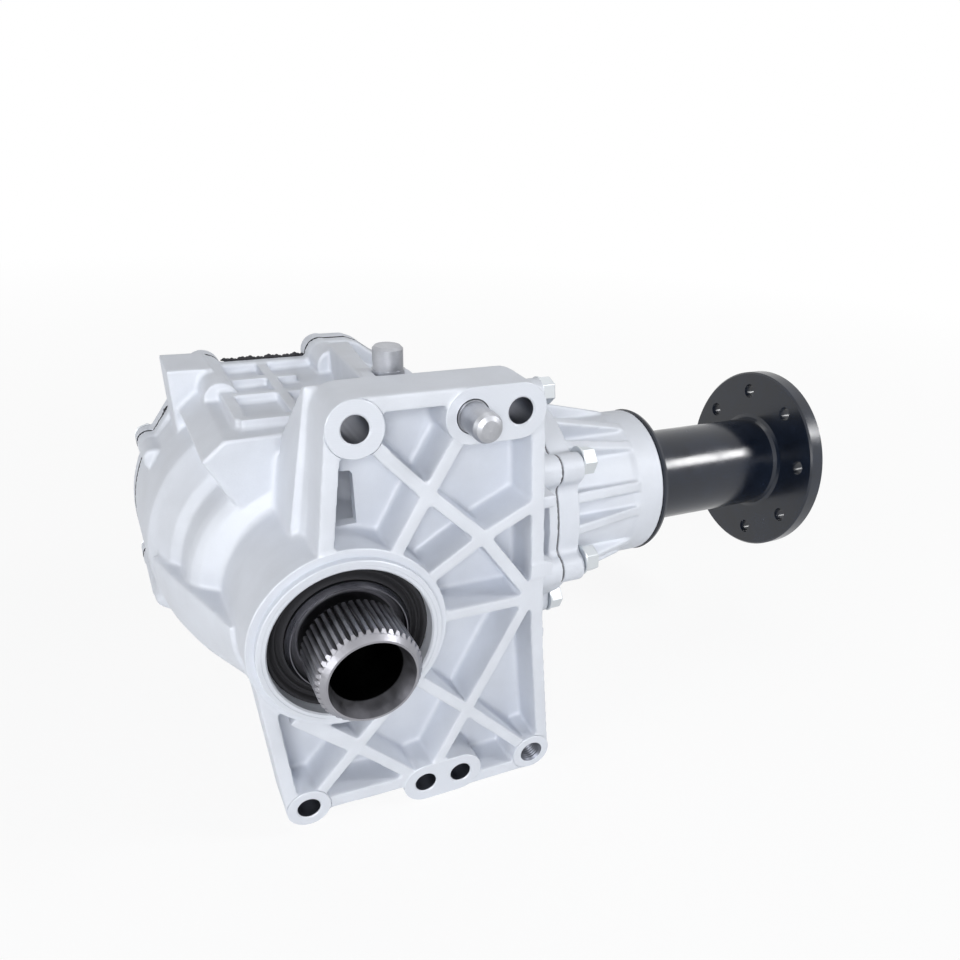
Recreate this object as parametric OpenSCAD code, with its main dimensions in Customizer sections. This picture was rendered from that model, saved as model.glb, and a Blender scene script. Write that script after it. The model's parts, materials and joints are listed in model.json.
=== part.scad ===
// Right-angle transfer case of a transverse drivetrain, millimetres.
// The origin is where the input shaft's axis meets the mounting face.
// +X runs along the pinion to the output flange, +Y goes into the case, +Z is up.

/* [Mounting plate] */
// Depth of the plate's walls behind the mounting face
plate_depth = 25; // [18:0.5:32]
// Thickness of the closed skin at the back of the pockets
plate_skin = 5; // [3:0.5:8]
// Thickness of the walls round the plate's edge
rim_w = 6.5; // [5:0.5:9]
// Thickness of the lattice ribs
rib_w = 5.8; // [4:0.2:8]
// How far the walls and lattice ribs stop short of the mounting face
rib_set_back = 0.5; // [0:0.1:3]
// Height of the plate's top edge above the input axis
plate_top = 104; // [103:0.5:112]
// Outer radius of the bosses round the fixing holes
boss_r = 11.5; // [9:0.5:13]
// Radius of the clearance holes for the fixing bolts
fix_hole_r = 5.5; // [4:0.1:7]
// Core radius of the threaded hole in the lower right corner
tapped_r = 5.1; // [4:0.1:6]
// Depth of the threaded hole
tapped_depth = 22; // [12:1:24]

/* [Hole places] */
// Upper left hole, sideways
hole_a_x = 6.7; // [2:0.1:12]
// Upper left hole, height
hole_a_z = 92.5; // [88:0.1:93]
// Dowel hole, sideways
hole_b_x = 54; // [48:0.5:58]
// Dowel hole, height
hole_b_z = 92.5; // [88:0.1:93]
// Upper right hole, sideways
hole_c_x = 75; // [73:0.1:78]
// Upper right hole, height
hole_c_z = 92.5; // [88:0.1:93]
// Lower left hole, sideways
hole_d_x = -25.4; // [-30:0.1:-20]
// Lower left hole, height
hole_d_z = -90.5; // [-95:0.1:-86]
// Lower middle hole, sideways
hole_e_x = 34; // [28:0.1:36]
// Second lower hole, sideways
hole_f_x = 53.1; // [50:0.1:58]
// Height of the two lower middle holes
hole_ef_z = -96.5; // [-100:0.1:-92]
// Threaded hole, sideways
hole_g_x = 94.3; // [88:0.1:98]
// Threaded hole, height
hole_g_z = -97; // [-100:0.1:-92]

/* [Pilot and front seal] */
// Outer radius of the round boss behind the pilot ring
ring_r = 44; // [43:0.5:48]
// Radius of the pilot ring that centres the case
pilot_r = 40.5; // [39:0.1:42]
// How far the pilot ring stands proud of the mounting face
pilot_proud = 3.5; // [1:0.5:6]
// Radius of the bore for the front oil seal
front_seal_r = 36; // [35.5:0.1:37]
// Depth of the seal bore behind the mounting face
front_seal_depth = 13; // [12:0.5:14]

/* [Input shaft] */
// Outer radius of the splines
spline_r = 22.5; // [20:0.1:23.5]
// Depth of the spline grooves
spline_depth = 1.3; // [0.8:0.1:1.6]
// Number of spline teeth
spline_teeth = 44; // [30:1:50]
// How far the shaft stands out of the mounting face
shaft_nose = 30; // [24:1:40]
// Radius of the bore that the half shaft passes through
shaft_bore_r = 15.7; // [12:0.1:17]
// Radius of the bearing journals
journal_r = 25; // [24.5:0.1:25.5]
// Radius of the shaft between the bearings
barrel_r = 27; // [26:0.5:29]
// From the inner end of the ring gear's teeth in to the seat that centres it
toe_land = 5.4; // [4:0.1:8]
// From the outer end of its teeth in to the edge of the shaft's flange
heel_step = 6.3; // [4:0.1:8]
// Thickness of that flange
gear_flange_t = 8; // [6:0.5:9]

/* [Gears] */
// Distance from the mounting face to the pinion axis
pinion_axis_y = 106; // [104:0.5:108]
// Number of ring gear teeth
ring_teeth = 37; // [31:2:41]
// Number of pinion teeth
pinion_teeth = 15; // [13:1:17]
// Gap between the ring gear's teeth and the wall of the drum
gear_gap = 2.8; // [2:0.1:5]
// Length of the teeth along the cone
face_w = 21; // [14:0.5:22]
// Tooth depth below the pitch cone of the ring gear
ring_dedendum = 4.2; // [3.8:0.1:4.6]
// Tooth height above the pitch cone of the ring gear
ring_addendum = 2; // [1.6:0.1:2.2]
// Tooth depth below the pitch cone of the pinion
pinion_dedendum = 2.7; // [2.4:0.1:3.2]
// Tooth height above the pitch cone of the pinion
pinion_addendum = 3.5; // [3:0.1:3.7]
// Pressure angle of the teeth
pressure_angle = 20; // [18:0.5:22.5]
// Spiral angle of the teeth
spiral_angle = 30; // [0:1:35]
// Play between the teeth, along the pitch circle
backlash = 0.3; // [0.15:0.05:0.6]
// Thickness of the ring gear behind the deepest root
ring_web = 9; // [7:0.5:10]

/* [Bell housing] */
// Distance from the mounting face to the seam of the rear cover
seam_y = 152; // [150:0.5:154]
// Outer radius of the drum at the seam
drum_r = 70.5; // [70:0.5:74]
// Wall thickness of the castings
wall = 5; // [4:0.25:6]
// Radius of the middle step of the bell
step_r = 57; // [55:0.5:59]
// Height of the straight top edge of the seam
seam_top = 78; // [76:0.5:82]
// Radius of the ears round the cover bolts
cover_ear_r = 6.5; // [6:0.5:9]
// Radius of the three upper ears
upper_ear_r = 8.5; // [8:0.5:9.5]
// Thread radius of the cover bolts
cover_bolt_r = 3; // [2.5:0.25:3.5]
// Thickness of the sealant between case and cover
sealant_t = 0.6; // [0.3:0.1:1]
// Thickness of the cover's flange
cover_flange_t = 9; // [7:0.5:10]
// From the rear bearing to the back of the cover's hub
hub_reach = 7.7; // [7:0.1:10]
// Number of ribs on the cover's dome
cover_ribs = 9; // [5:1:14]

/* [Pinion housing] */
// Distance from the input axis to the pinion housing's seat
housing_seat_x = 127; // [125:0.5:131]
// Outer radius of the case's tunnel for the pinion housing
tunnel_r = 50; // [48:0.5:52]
// Radius of the spigot that fits in the tunnel
spigot_r = 41; // [40:0.1:42]
// Thickness of the shim between case and pinion housing
shim_t = 1; // [0.5:0.1:2]
// Thickness of the pinion housing's flange
flange_t = 13; // [10:0.5:15]
// Radius of the flange between the bolts
flange_r = 58.8; // [57:0.2:60]
// Radius of the bolt circle
housing_bolt_circle = 61.5; // [60:0.5:64]
// Radius of the ears round the bolts
ear_r = 8.5; // [8:0.5:9.5]
// Radius of the hollow curves beside those ears
ear_fillet_r = 5.5; // [2:0.5:6]
// Number of bolts that hold the pinion housing
housing_bolts_n = 7; // [5:1:9]
// Angle of the first bolt, from the mounting side up
first_bolt_angle = 88.7; // [80:0.1:95]
// Radius of the nose
nose_r = 42.6; // [41:0.1:44]
// Distance from the input axis to the end of the nose
nose_end_x = 206.7; // [203:0.1:212]
// Length of the smooth band at the end of the nose
nose_band = 19; // [12:0.5:24]
// Width of the gusset ribs on the nose
gusset_w = 6; // [3:0.5:7]
// Angle from the middle between two bolts to a gusset
gusset_turn = 9.6; // [6:0.1:12]

/* [Output flange] */
// Radius of the companion flange
output_flange_r = 56.7; // [54:0.1:60]
// Thickness of the companion flange
output_flange_t = 10; // [8:0.5:12]
// Distance from the input axis to the flange's near face
output_near_x = 306; // [290:0.5:320]
// Outer radius of the flange's tube
tube_r = 27.6; // [26.5:0.1:29]
// Inner radius of the flange's tube
tube_bore_r = 22.3; // [21.8:0.1:23]
// Radius of the bolt circle on the flange
output_bolt_circle = 45; // [43:0.5:47]
// Number of bolt holes in the flange
output_bolts_n = 8; // [4:1:10]
// Radius of the bolt holes in the flange
output_hole_r = 4.2; // [3:0.1:5]
// Angle of the first bolt hole
output_first_angle = 15.3; // [0:0.1:40]
// Radius of the centring recess in the flange's face
output_pilot_r = 30; // [28:0.5:34]
// Depth of the centring recess
output_pilot_depth = 3; // [1:0.5:4]
// Outer radius of the dust shield
shield_r = 43; // [41:0.5:44]

/* [Bearings] */
// Outer radius of the input shaft's bearings
input_bearing_r = 35; // [34.5:0.1:35.3]
// Width of the input shaft's bearings
input_bearing_w = 16; // [14:0.5:17]
// Outer radius of the head bearing
head_bearing_r = 36; // [35:0.1:36.5]
// Bore radius of the head bearing
head_journal_r = 17.5; // [17:0.1:18.5]
// Width of the head bearing
head_bearing_w = 20; // [18:0.5:22]
// Outer radius of the tail bearing
tail_bearing_r = 31; // [30.5:0.1:32]
// Bore radius of the tail bearing
tail_journal_r = 15; // [14.5:0.1:15.5]
// Width of the tail bearing
tail_bearing_w = 17; // [15:0.5:18]
// Tilt of the rollers
roller_tilt = 13; // [10:0.5:16]

/* [Pins and fasteners] */
// Radius of the mounting dowel
dowel_r = 6.2; // [5:0.1:7]
// How far the dowel stands out of the mounting face
dowel_proud = 16; // [8:0.5:24]
// Radius of the upright pin behind the plate
pin_r = 6.2; // [5:0.1:7]
// Height of the upright pin's top
pin_top = 112; // [106:0.5:120]
// Distance of the upright pin behind the mounting face
pin_y = 36; // [34:0.5:44]
// Sideways place of the upright pin
pin_x = 32; // [28:0.5:36]
// Thread radius of the housing bolts
m8_r = 4; // [3:0.1:4.5]
// Width across the flats of the bolt heads
m8_flats = 13; // [11:0.5:14]
// Height of the ring gear bolts' heads
m8_head = 6.3; // [4:0.1:6.5]
// Height of the housing bolts' heads
housing_head = 9; // [5:0.5:10]
// Width across the flats of the cover bolts
cover_flats = 10; // [8:0.5:10.5]
// Height of the heads of the cover bolts
cover_head = 5; // [3:0.5:6]
// Thread radius of the filler and drain plugs
plug_r = 8; // [6:0.5:8]
// Width across the flats of the plugs
plug_flats = 19; // [15:0.5:20]
// Radial play of a screw or pin in its hole
hole_play = 0.1; // [0.05:0.05:0.2]
// Radial gap between a running seal lip and its shaft
lip_gap = 0.1; // [0.05:0.05:0.2]
// Gap between a roller and its races
roller_gap = 0.12; // [0.05:0.01:0.2]

/* [Hidden] */
$fn = 96;

// Bevel gear angles
ring_delta = atan(ring_teeth / pinion_teeth);
pinion_delta = 90 - ring_delta;
drum_inner_r = drum_r - wall;
cone_outer = (drum_inner_r - gear_gap - ring_addendum * cos(ring_delta)) / sin(ring_delta);
cone_inner = cone_outer - face_w;
cone_mid = (cone_outer + cone_inner) / 2;
ring_root = ring_delta - atan(ring_dedendum / cone_outer);
ring_tip = ring_delta + atan(ring_addendum / cone_outer);
pinion_root = pinion_delta - atan(pinion_dedendum / cone_outer);
pinion_tip = pinion_delta + atan(pinion_addendum / cone_outer);
ring_root_y = pinion_axis_y + cone_outer * cos(ring_root);
ring_back_y = ring_root_y + ring_web;
pinion_head_x = cone_outer * cos(pinion_root);
gear_seat_r = cone_inner * sin(ring_root) - toe_land;
gear_flange_r = cone_outer * sin(ring_root) - heel_step;

// Places along the input axis
front_cup_y = front_seal_depth + 3;
front_cup_end = front_cup_y + input_bearing_w;
gear_flange_end = ring_back_y + gear_flange_t;
rear_cup_y = gear_flange_end + m8_head + 3;
rear_cup_end = rear_cup_y + input_bearing_w;
cover_y = seam_y + sealant_t;
cover_back = rear_cup_end + hub_reach;
dome_r = gear_flange_r + 3 + wall;
ridge_y = seam_y - 53;

sleeve_r = journal_r + 2.6;
tail_r = journal_r - 2;
bore_lead = 9;
rear_seal_r = journal_r + 7;

// Places along the pinion axis
head_cone_x = pinion_head_x + 10;
head_cone_end = head_cone_x + head_bearing_w;
spigot_end_x = head_cone_x - 3;
housing_x = housing_seat_x + shim_t;
housing_face_x = housing_x + flange_t;
output_seal_x = nose_end_x - 12;
tail_cone_end = output_seal_x - 6;
tail_cone_x = tail_cone_end - tail_bearing_w;
hub_l = 38;
hub_web_x = tail_cone_end + hub_l;
stud_r = tail_journal_r - 3;
flange_face_x = output_near_x + output_flange_t;
output_seal_r = tube_r + 8;
groove_x = housing_x - 14;
groove_w = 3.4;

// The pins are thicker where they are pressed in
pin_step = 0.4;
pin_l = 30;
dowel_seat = 18;

// Places of the holes
hole_a = [hole_a_x, hole_a_z];
hole_b = [hole_b_x, hole_b_z];
hole_c = [hole_c_x, hole_c_z];
hole_d = [hole_d_x, hole_d_z];
hole_e = [hole_e_x, hole_ef_z];
hole_f = [hole_f_x, hole_ef_z];
hole_g = [hole_g_x, hole_g_z];

// Places where the lattice ribs meet
knot_top = [35.5, 62];
knot_mid = [61, 38];
knot_rim = [87, 3];
knot_low = [56, -56];
knot_left = [0, -61];

// Places of the cover bolts: three on the upper box, the others on a circle
cover_bolt_circle = drum_r - 1;
upper_ears = [[-25, seam_top - 4.5], [34, seam_top], [76, seam_top - 18]];
round_ears = [for (a = [145, 199.5, 244, 284, 319]) cover_bolt_circle * [cos(a), sin(a)]];
cover_ears = concat(upper_ears, round_ears);
// How far the bosses of the ears reach forward from the seam
upper_boss_l = [47, 24, 30];
round_boss_l = [25, 52, 22, 22, 22];
// How much lower the cover's top edge is than the case's
cover_drop = 3.2;
plug_y = seam_y - 28;
plug_l = 10.5;
plug_head = 6;
fill_x = -43;
fill_y = cover_y + 26;
fill_z = 27;
screw_depth = 20;
housing_screw_depth = 14;

// Height inside the casting from which the pieces on its top rise
inside_z = seam_top - 18;

// Front of the upper box
box_y = 55;
// Steps of the bell, from the ring to the seam
neck_end = 50;
step_y = 59;
step_end = 76;

// Draws an outline of the X and Z plane from one depth to another
module along_y(y0, y1) {
    translate([0, y1, 0]) rotate([90, 0, 0]) linear_extrude(height = y1 - y0) children();
}

// Turns a profile of radius and depth round the input axis
module about_y() {
    rotate([-90, 0, 0]) rotate_extrude() children();
}

// Moves a solid built on +Z to the pinion axis, which runs along +X
module pinion_frame() {
    translate([0, pinion_axis_y, 0]) rotate([0, 90, 0]) children();
}

// Turns a profile of radius and distance round the pinion axis
module about_pinion() {
    pinion_frame() rotate_extrude() children();
}

// Copies round the pinion axis: the angle goes from the mounting side upwards
module round_pinion(radius, n, first) {
    for (i = [0 : n - 1]) {
        angle = first - i * 360 / n;
        translate([0, pinion_axis_y - radius * cos(angle), radius * sin(angle)])
            rotate([0, 90, 0]) children();
    }
}

// Ring of rectangular section
module ring2d(r_in, r_out, y0, y1) {
    translate([r_in, y0]) square([r_out - r_in, y1 - y0]);
}

// Straight bar between two points
module bar2d(p, q, w) {
    translate(p) rotate(atan2(q[1] - p[1], q[0] - p[0])) translate([0, -w / 2])
        square([norm(q - p), w]);
}

// Hexagon of a given width across the flats
module hexagon(flats) {
    circle(r = flats / 2 / cos(30), $fn = 6);
}

// Hex bolt that points down from its seat at zero
module hex_bolt(r, flats, head, length) {
    intersection() {
        linear_extrude(height = head) hexagon(flats);
        cylinder(h = head, r1 = flats / 2 / cos(30) + head * 1.5, r2 = flats / 2 - 0.4);
    }
    cylinder(h = 0.8, r = flats / 2 + 0.6);
    translate([0, 0, -length]) cylinder(h = length + 0.4, r = r);
}

// Outline of the mounting plate
module plate2d() {
    left_top = [hole_a[0] - boss_r, hole_a[1]];
    left_low = [hole_d[0] - boss_r + 1, hole_d[1]];
    right_top = [hole_c[0] + boss_r, hole_c[1]];
    right_low = [hole_g[0] + boss_r - 1, hole_g[1]];
    polygon([left_top, [-12, 44], [-42, -10], left_low,
             [hole_d[0] + 10, hole_d[1] - 4.5], [hole_e[0], hole_ef_z - 1],
             [hole_f[0], hole_ef_z - boss_r + 1], [hole_g[0], hole_g[1] - boss_r + 1],
             right_low, [95, -20], [92, 22], right_top, [hole_c[0], plate_top],
             [hole_a[0], plate_top]]);
    bosses2d(0);
    circle(r = ring_r);
}

// The round bosses of the fixing holes
module bosses2d(less) {
    for (p = [hole_a, hole_b, hole_c]) translate(p) circle(r = boss_r - less);
    for (p = [hole_d, hole_g]) translate(p) circle(r = boss_r - 1 - less);
    for (p = [hole_e, hole_f]) translate(p) circle(r = boss_r - less);
    bar2d(hole_e, hole_f, 2 * (boss_r - less));
    bar2d(hole_b, hole_c, 2 * (boss_r - less));
}

// The walls round the plate's edge
module rim2d() {
    inset = rim_w / 2;
    bar2d([hole_a[0] - boss_r + inset, hole_a[1]], [-12 + inset, 44 - ring_r / 4], rim_w);
    bar2d([-42 + inset, -10], [hole_d[0] - boss_r + 1 + inset, hole_d[1]], rim_w);
    bar2d([hole_d[0] + 6, hole_d[1] - 0.5], [hole_e[0], hole_ef_z + 3.5], rim_w + 1);
    bar2d([hole_f[0], hole_ef_z - boss_r + 1 + inset],
          [hole_g[0], hole_g[1] - boss_r + 1 + inset], rim_w + 1);
    bar2d([hole_g[0] + boss_r - 1 - inset, hole_g[1]], [95 - inset, -20], rim_w);
    bar2d([95 - inset, -20], [92 - inset, 22], rim_w);
    bar2d([92 - inset, 22], [hole_c[0] + boss_r - inset, hole_c[1]], rim_w);
    bar2d([hole_a[0], plate_top - inset], [hole_c[0], plate_top - inset], rim_w);
}

// The lattice of ribs
module lattice2d() {
    ring_stop = pilot_r;
    for (pair = [[hole_a, knot_top], [knot_top, knot_mid], [knot_mid, knot_rim],
                 [hole_b, knot_top], [knot_mid, [86, 50]], [knot_rim, knot_low],
                 [knot_low, [hole_e[0] + 3, hole_ef_z + 4]], [knot_low, hole_g],
                 [knot_left, hole_d], [knot_left, hole_e], [knot_left, [16, -42.5]]])
        bar2d(pair[0], pair[1], rib_w);
    for (p = [knot_top, knot_mid, knot_low])
        bar2d(p * (ring_stop / norm(p)), p, rib_w);
    bar2d([ring_stop, 1.5], [knot_rim[0], 1.5], rib_w);
    bar2d([-26.5, -35], knot_left, rib_w + 2);
}

// Through window behind the upper left boss
module window2d() {
    polygon([[-3.5, 49], [6, 49], [4, 78], [0, 80]]);
}

// Bell of the case: radius against depth
module bell2d() {
    polygon([[0, 0], [ring_r, 0], [ring_r, neck_end], [ring_r + 1.5, neck_end + 2],
             [step_r - 4, step_y - 3], [step_r - 1, step_y + 1], [step_r, step_y + 5],
             [step_r + 0.6, step_end], [step_r + 5, step_end + 5],
             [drum_r - 3.2, ridge_y - 5], [drum_r - 0.5, ridge_y],
             [drum_r - 0.2, ridge_y + 6], [drum_r, seam_y], [0, seam_y]]);
}

// Hollow of the bell: radius against depth
module bell_hollow2d() {
    polygon([[0, front_cup_end + 2], [input_bearing_r - 4, front_cup_end + 2],
             [input_bearing_r + 3, front_cup_end + 6], [ring_r - wall, neck_end],
             [step_r - 2 - wall, step_y + 6], [step_r - wall, step_end],
             [drum_inner_r - 1, ridge_y + 4], [drum_inner_r, seam_y + 1], [0, seam_y + 1]]);
}

// Plate with the outline of the seam, whose top edge can be lower than the case's
module seam_plate(y0, y1, less) {
    top = seam_top - less;
    along_y(y0, y1) circle(r = drum_r);
    for (p = round_ears) along_y(y0, y1) translate(p) circle(r = cover_ear_r);
    for (p = upper_ears) along_y(y0, y1) translate(p) circle(r = upper_ear_r);
    along_y(y0, y1) polygon([[-57, 38], [-56.2, 44], [-45.2, 58.4], [-33, top], [34, top],
                             [60, 30], [0, 30]]);
    // Flat top beside the middle ear and the slope down to the right one
    along_y(y0, y1) polygon([[34, inside_z], [35.5, seam_top + upper_ear_r - 0.3],
                             [47, seam_top + upper_ear_r - 0.3], [53, seam_top + 6],
                             [62, seam_top - 0.5], [79.2, seam_top - 10.4],
                             [84.2, inside_z - 1.5], [84.2, 40], [60, 30], [20, 40]]);
}

// The casting of the case without its bores
module case_body() {
    // Closed skin, walls, lattice and bosses of the mounting plate
    difference() {
        along_y(plate_depth - plate_skin, plate_depth) plate2d();
        along_y(0, plate_depth + 1) window2d();
    }
    along_y(0, plate_depth) bosses2d(0);
    along_y(rib_set_back, plate_depth) {
        rim2d();
        lattice2d();
    }
    // Tab on the right edge
    along_y(0, 8) translate([85.4, 12.4]) square([11.6, 7.6]);
    along_y(0, plate_depth) circle(r = ring_r);
    along_y(-pilot_proud, 1) circle(r = pilot_r);
    // Bell, upper box and seam flange
    about_y() bell2d();
    along_y(box_y, seam_y)
        polygon([[-43, 65], [-33, 73], [20, seam_top - 4], [48, seam_top - 2], [74, 64],
                 [66, 20], [0, 0], [-34, 47]]);
    skirt();
    seam_plate(seam_y - wall - 2, seam_y, 0);
    for (i = [0 : len(round_ears) - 1])
        along_y(seam_y - round_boss_l[i], seam_y) {
            translate(round_ears[i]) circle(r = cover_ear_r - 0.5);
            bar2d(round_ears[i] * 0.75, round_ears[i], 8);
        }
    for (i = [0 : len(upper_ears) - 1])
        along_y(seam_y - upper_boss_l[i], seam_y) {
            translate(upper_ears[i]) circle(r = upper_ear_r - 0.5);
            bar2d(upper_ears[i] - [0, 20], upper_ears[i], 2 * upper_ear_r - 2);
        }
    // Triangular lug beside the upper left ear
    along_y(seam_y - 29, seam_y)
        polygon([[-45.5, 52], [-45.5, seam_top + 5.5], [-25, seam_top + 5], [-25, 64], [-33, 66]]);
    top_ribs();
    // Seat of the upright pin
    translate([pin_x, pin_y, inside_z]) cylinder(h = pin_top - 11 - inside_z, r = pin_r + 4);
    translate([pin_x - 8, plate_depth - 1, inside_z]) cube([16, 36, pin_top - 19 - inside_z]);
    // Boss of the drain plug
    translate([0, plug_y, -drum_r - 4]) cylinder(h = 20, r = 14);
    // Tunnel of the pinion housing with its flange and ears
    tunnel_body();
    // Webs from the plate to the tunnel
    for (z = [-42, 34]) translate([44, plate_depth - 1, z]) cube([66, 62, 6]);
    translate([66, plate_depth - 1, -42]) cube([6, 40, 80]);
}

// Cone that stiffens the lower left side of the bell
module skirt() {
    intersection() {
        about_y() polygon([[0, 18], [ring_r + 2, 20], [step_r - 4, 40], [drum_r - 7, 68],
                           [drum_r - 1.2, 90], [0, 90]]);
        along_y(0, 100) polygon([[-5, 0], [-90, 12], [-90, -90], [-5, -90]]);
    }
}

// Side wall behind the plate's left edge and the ribs over the top of the case
module top_ribs() {
    intersection() {
        along_y(plate_depth - 1, box_y + 4)
            bar2d([hole_a_x - boss_r + rim_w / 2, plate_top], [-15, 30], rim_w);
        translate([-40, 0, 0]) rotate([90, 0, 90]) linear_extrude(height = 60)
            polygon([[0, 34], [0, plate_top - 2], [plate_depth + 2, plate_top - 2],
                     [box_y - 3, seam_top - 4], [box_y + 3, 34]]);
    }
    // Three ribs across, one along the box and one behind the upper left ear
    rib_h = seam_top - 0.5 - inside_z;
    for (y = [64.5, 97.5, 120.5]) translate([-24, y, inside_z]) cube([38, 5, rib_h]);
    translate([-1, box_y + 5, inside_z]) cube([5, seam_y - box_y - 5, rib_h]);
    translate([-26, box_y + 12, inside_z]) cube([5.5, 40, rib_h]);
    // Bar that runs down from the plate's top edge to the middle ear
    intersection() {
        translate([0, 0, inside_z]) linear_extrude(height = plate_top - inside_z)
            polygon([[17, plate_depth - 1], [23, plate_depth - 1], [49, seam_y],
                     [36.5, seam_y]]);
        rotate([90, 0, 90]) linear_extrude(height = 60)
            polygon([[0, 50], [0, plate_top], [plate_depth, plate_top],
                     [seam_y, seam_top + 6], [seam_y, 50]]);
    }
}

// Tunnel with its flange, cut back where the rear cover passes
module tunnel_body() {
    lip = 5;
    boss_l = 30;
    difference() {
        pinion_frame() cylinder(h = housing_seat_x - 1, r = tunnel_r);
        translate([-1, seam_y, -60]) cube([drum_r + 4, 40, 120]);
    }
    pinion_frame() translate([0, 0, housing_seat_x - lip]) housing_flange(lip, flange_r, ear_r);
    pinion_frame() at_housing_bolts() {
        translate([housing_bolt_circle, 0, housing_seat_x - boss_l])
            cylinder(h = boss_l - 1, r1 = ear_r + 3, r2 = ear_r - 0.4);
        translate([tunnel_r - 4, -ear_r / 2, housing_seat_x - boss_l])
            cube([housing_bolt_circle - tunnel_r + 4, ear_r, boss_l - 1]);
    }
}

// Copies to the bolts of the pinion housing, for solids built in the pinion frame
module at_housing_bolts() {
    for (i = [0 : housing_bolts_n - 1])
        rotate(270 - first_bolt_angle + i * 360 / housing_bolts_n) children();
}

// Flange of the joint between tunnel and pinion housing, built on +Z
module housing_flange(height, r, ear) {
    side = 2 * (housing_bolt_circle + ear) + 2;
    intersection() {
        translate([-side / 2, -side / 2, 0]) cube([side, side, height]);
        translate([0, 0, -1]) {
            cylinder(h = height + 2, r = r);
            at_housing_bolts() {
                translate([housing_bolt_circle, 0, 0]) cylinder(h = height + 2, r = ear);
                linear_extrude(height = height + 2) ear_web2d(r, ear);
            }
        }
    }
}

// Web between a flange's edge and one of its ears, with a hollow curve on each side
module ear_web2d(r, ear) {
    reach = r + ear_fillet_r - 0.2;
    span = ear + ear_fillet_r - 0.2;
    turn = acos((housing_bolt_circle ^ 2 + reach ^ 2 - span ^ 2) / (2 * housing_bolt_circle * reach));
    corner = reach * [cos(turn), sin(turn)];
    difference() {
        polygon([[0, 0], [corner[0], -corner[1]], [housing_bolt_circle, 0], corner]);
        for (side = [-1, 1]) translate([corner[0], side * corner[1]]) circle(r = ear_fillet_r);
    }
}

module main_case() {
    color("gainsboro")
    difference() {
        case_body();
        // Hollow of the bell and of the tunnel
        about_y() bell_hollow2d();
        pinion_frame() translate([0, 0, 40])
            cylinder(h = housing_seat_x, r = spigot_r + hole_play);
        // Seal bore, shoulder and bearing bore
        about_y() ring2d(0, front_seal_r + 0.02, -pilot_proud - 1, front_seal_depth);
        about_y() ring2d(0, input_bearing_r - 4, 0, front_cup_end + 3);
        about_y() ring2d(0, input_bearing_r + 0.02, front_cup_y, front_cup_end + 3);
        // Fixing holes
        for (p = [hole_a, hole_c, hole_d, hole_e, hole_f])
            along_y(-1, plate_depth + 1) translate(p) circle(r = fix_hole_r);
        for (p = [hole_a, hole_c, hole_d, hole_e, hole_f])
            along_y(plate_depth, plate_depth + 40) translate(p) circle(r = fix_hole_r + 4.5);
        along_y(-1, dowel_seat + 1) translate(hole_b) circle(r = dowel_r + pin_step + 0.02);
        along_y(-1, tapped_depth) translate(hole_g) circle(r = tapped_r);
        // Screw holes of the cover, of the housing and of the plugs
        along_y(seam_y - screw_depth - 1, seam_y + 1)
            for (p = cover_ears) translate(p) circle(r = cover_bolt_r + hole_play);
        round_pinion(housing_bolt_circle, housing_bolts_n, first_bolt_angle)
            translate([0, 0, housing_seat_x - housing_screw_depth - 1])
                cylinder(h = housing_screw_depth + 2, r = m8_r + hole_play);
        translate([pin_x, pin_y, pin_top - pin_l])
            cylinder(h = pin_l, r = pin_r + pin_step + 0.02);
        translate([0, plug_y, -drum_r - 5]) cylinder(h = 20, r = plug_r + hole_play);
    }
}

module rear_cover() {
    color("gainsboro")
    difference() {
        union() {
            seam_plate(cover_y, cover_y + cover_flange_t, cover_drop);
            about_y() polygon([[0, cover_y + 1], [dome_r, cover_y + 1],
                               [dome_r, cover_y + cover_flange_t + 2],
                               [dome_r - 5, cover_y + cover_flange_t + 7],
                               [input_bearing_r + 9, cover_back - 9],
                               [input_bearing_r + 7, cover_back - 5],
                               [input_bearing_r + 5, cover_back], [0, cover_back]]);
            for (i = [0 : cover_ribs - 1])
                rotate([0, i * 360 / cover_ribs - 5, 0]) translate([0, 0, -2.5])
                    linear_extrude(height = 5)
                        polygon([[40, cover_y + 2], [dome_r, cover_y + 2],
                                 [dome_r - 1, cover_y + cover_flange_t + 6],
                                 [input_bearing_r + 7, cover_back - 4], [40, cover_back - 4]]);
            // Boss of the filler plug
            translate([fill_x, cover_y + 2, fill_z]) rotate([-90, 0, 0])
                cylinder(h = fill_y - cover_y - 2, r = plug_r + 4.5);
        }
        about_y() polygon([[0, seam_y], [dome_r - wall, seam_y],
                           [dome_r - wall, cover_y + cover_flange_t],
                           [dome_r - wall - 5, rear_cup_y - 1], [0, rear_cup_y - 1]]);
        about_y() ring2d(0, input_bearing_r + 0.02, rear_cup_y - 2, rear_cup_end);
        about_y() ring2d(0, journal_r + 2, rear_cup_y, cover_back + 1);
        about_y() ring2d(0, rear_seal_r + 0.02, cover_back - 8, cover_back + 1);
        along_y(cover_y - 1, cover_back)
            for (p = cover_ears) translate(p) circle(r = cover_bolt_r + hole_play);
        translate([fill_x, fill_y - plug_l - 1, fill_z]) rotate([-90, 0, 0])
            cylinder(h = plug_l + 2, r = plug_r + hole_play);
        translate([fill_x, fill_y, fill_z]) rotate([-90, 0, 0]) cylinder(h = 20, r = 12);
        tunnel_notch();
    }
}

// Space beside the cover that the tunnel of the case takes
module tunnel_notch() {
    along_y(seam_y - 1, cover_back) translate([drum_r + 1, -40]) square([20, 80]);
}

module case_sealant() {
    color("black")
    difference() {
        seam_plate(seam_y, cover_y, cover_drop);
        tunnel_notch();
        along_y(seam_y - 1, cover_y + 1) circle(r = drum_inner_r);
        along_y(seam_y - 1, cover_y + 1)
            for (p = cover_ears) translate(p) circle(r = cover_bolt_r + 0.4);
    }
}

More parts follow.
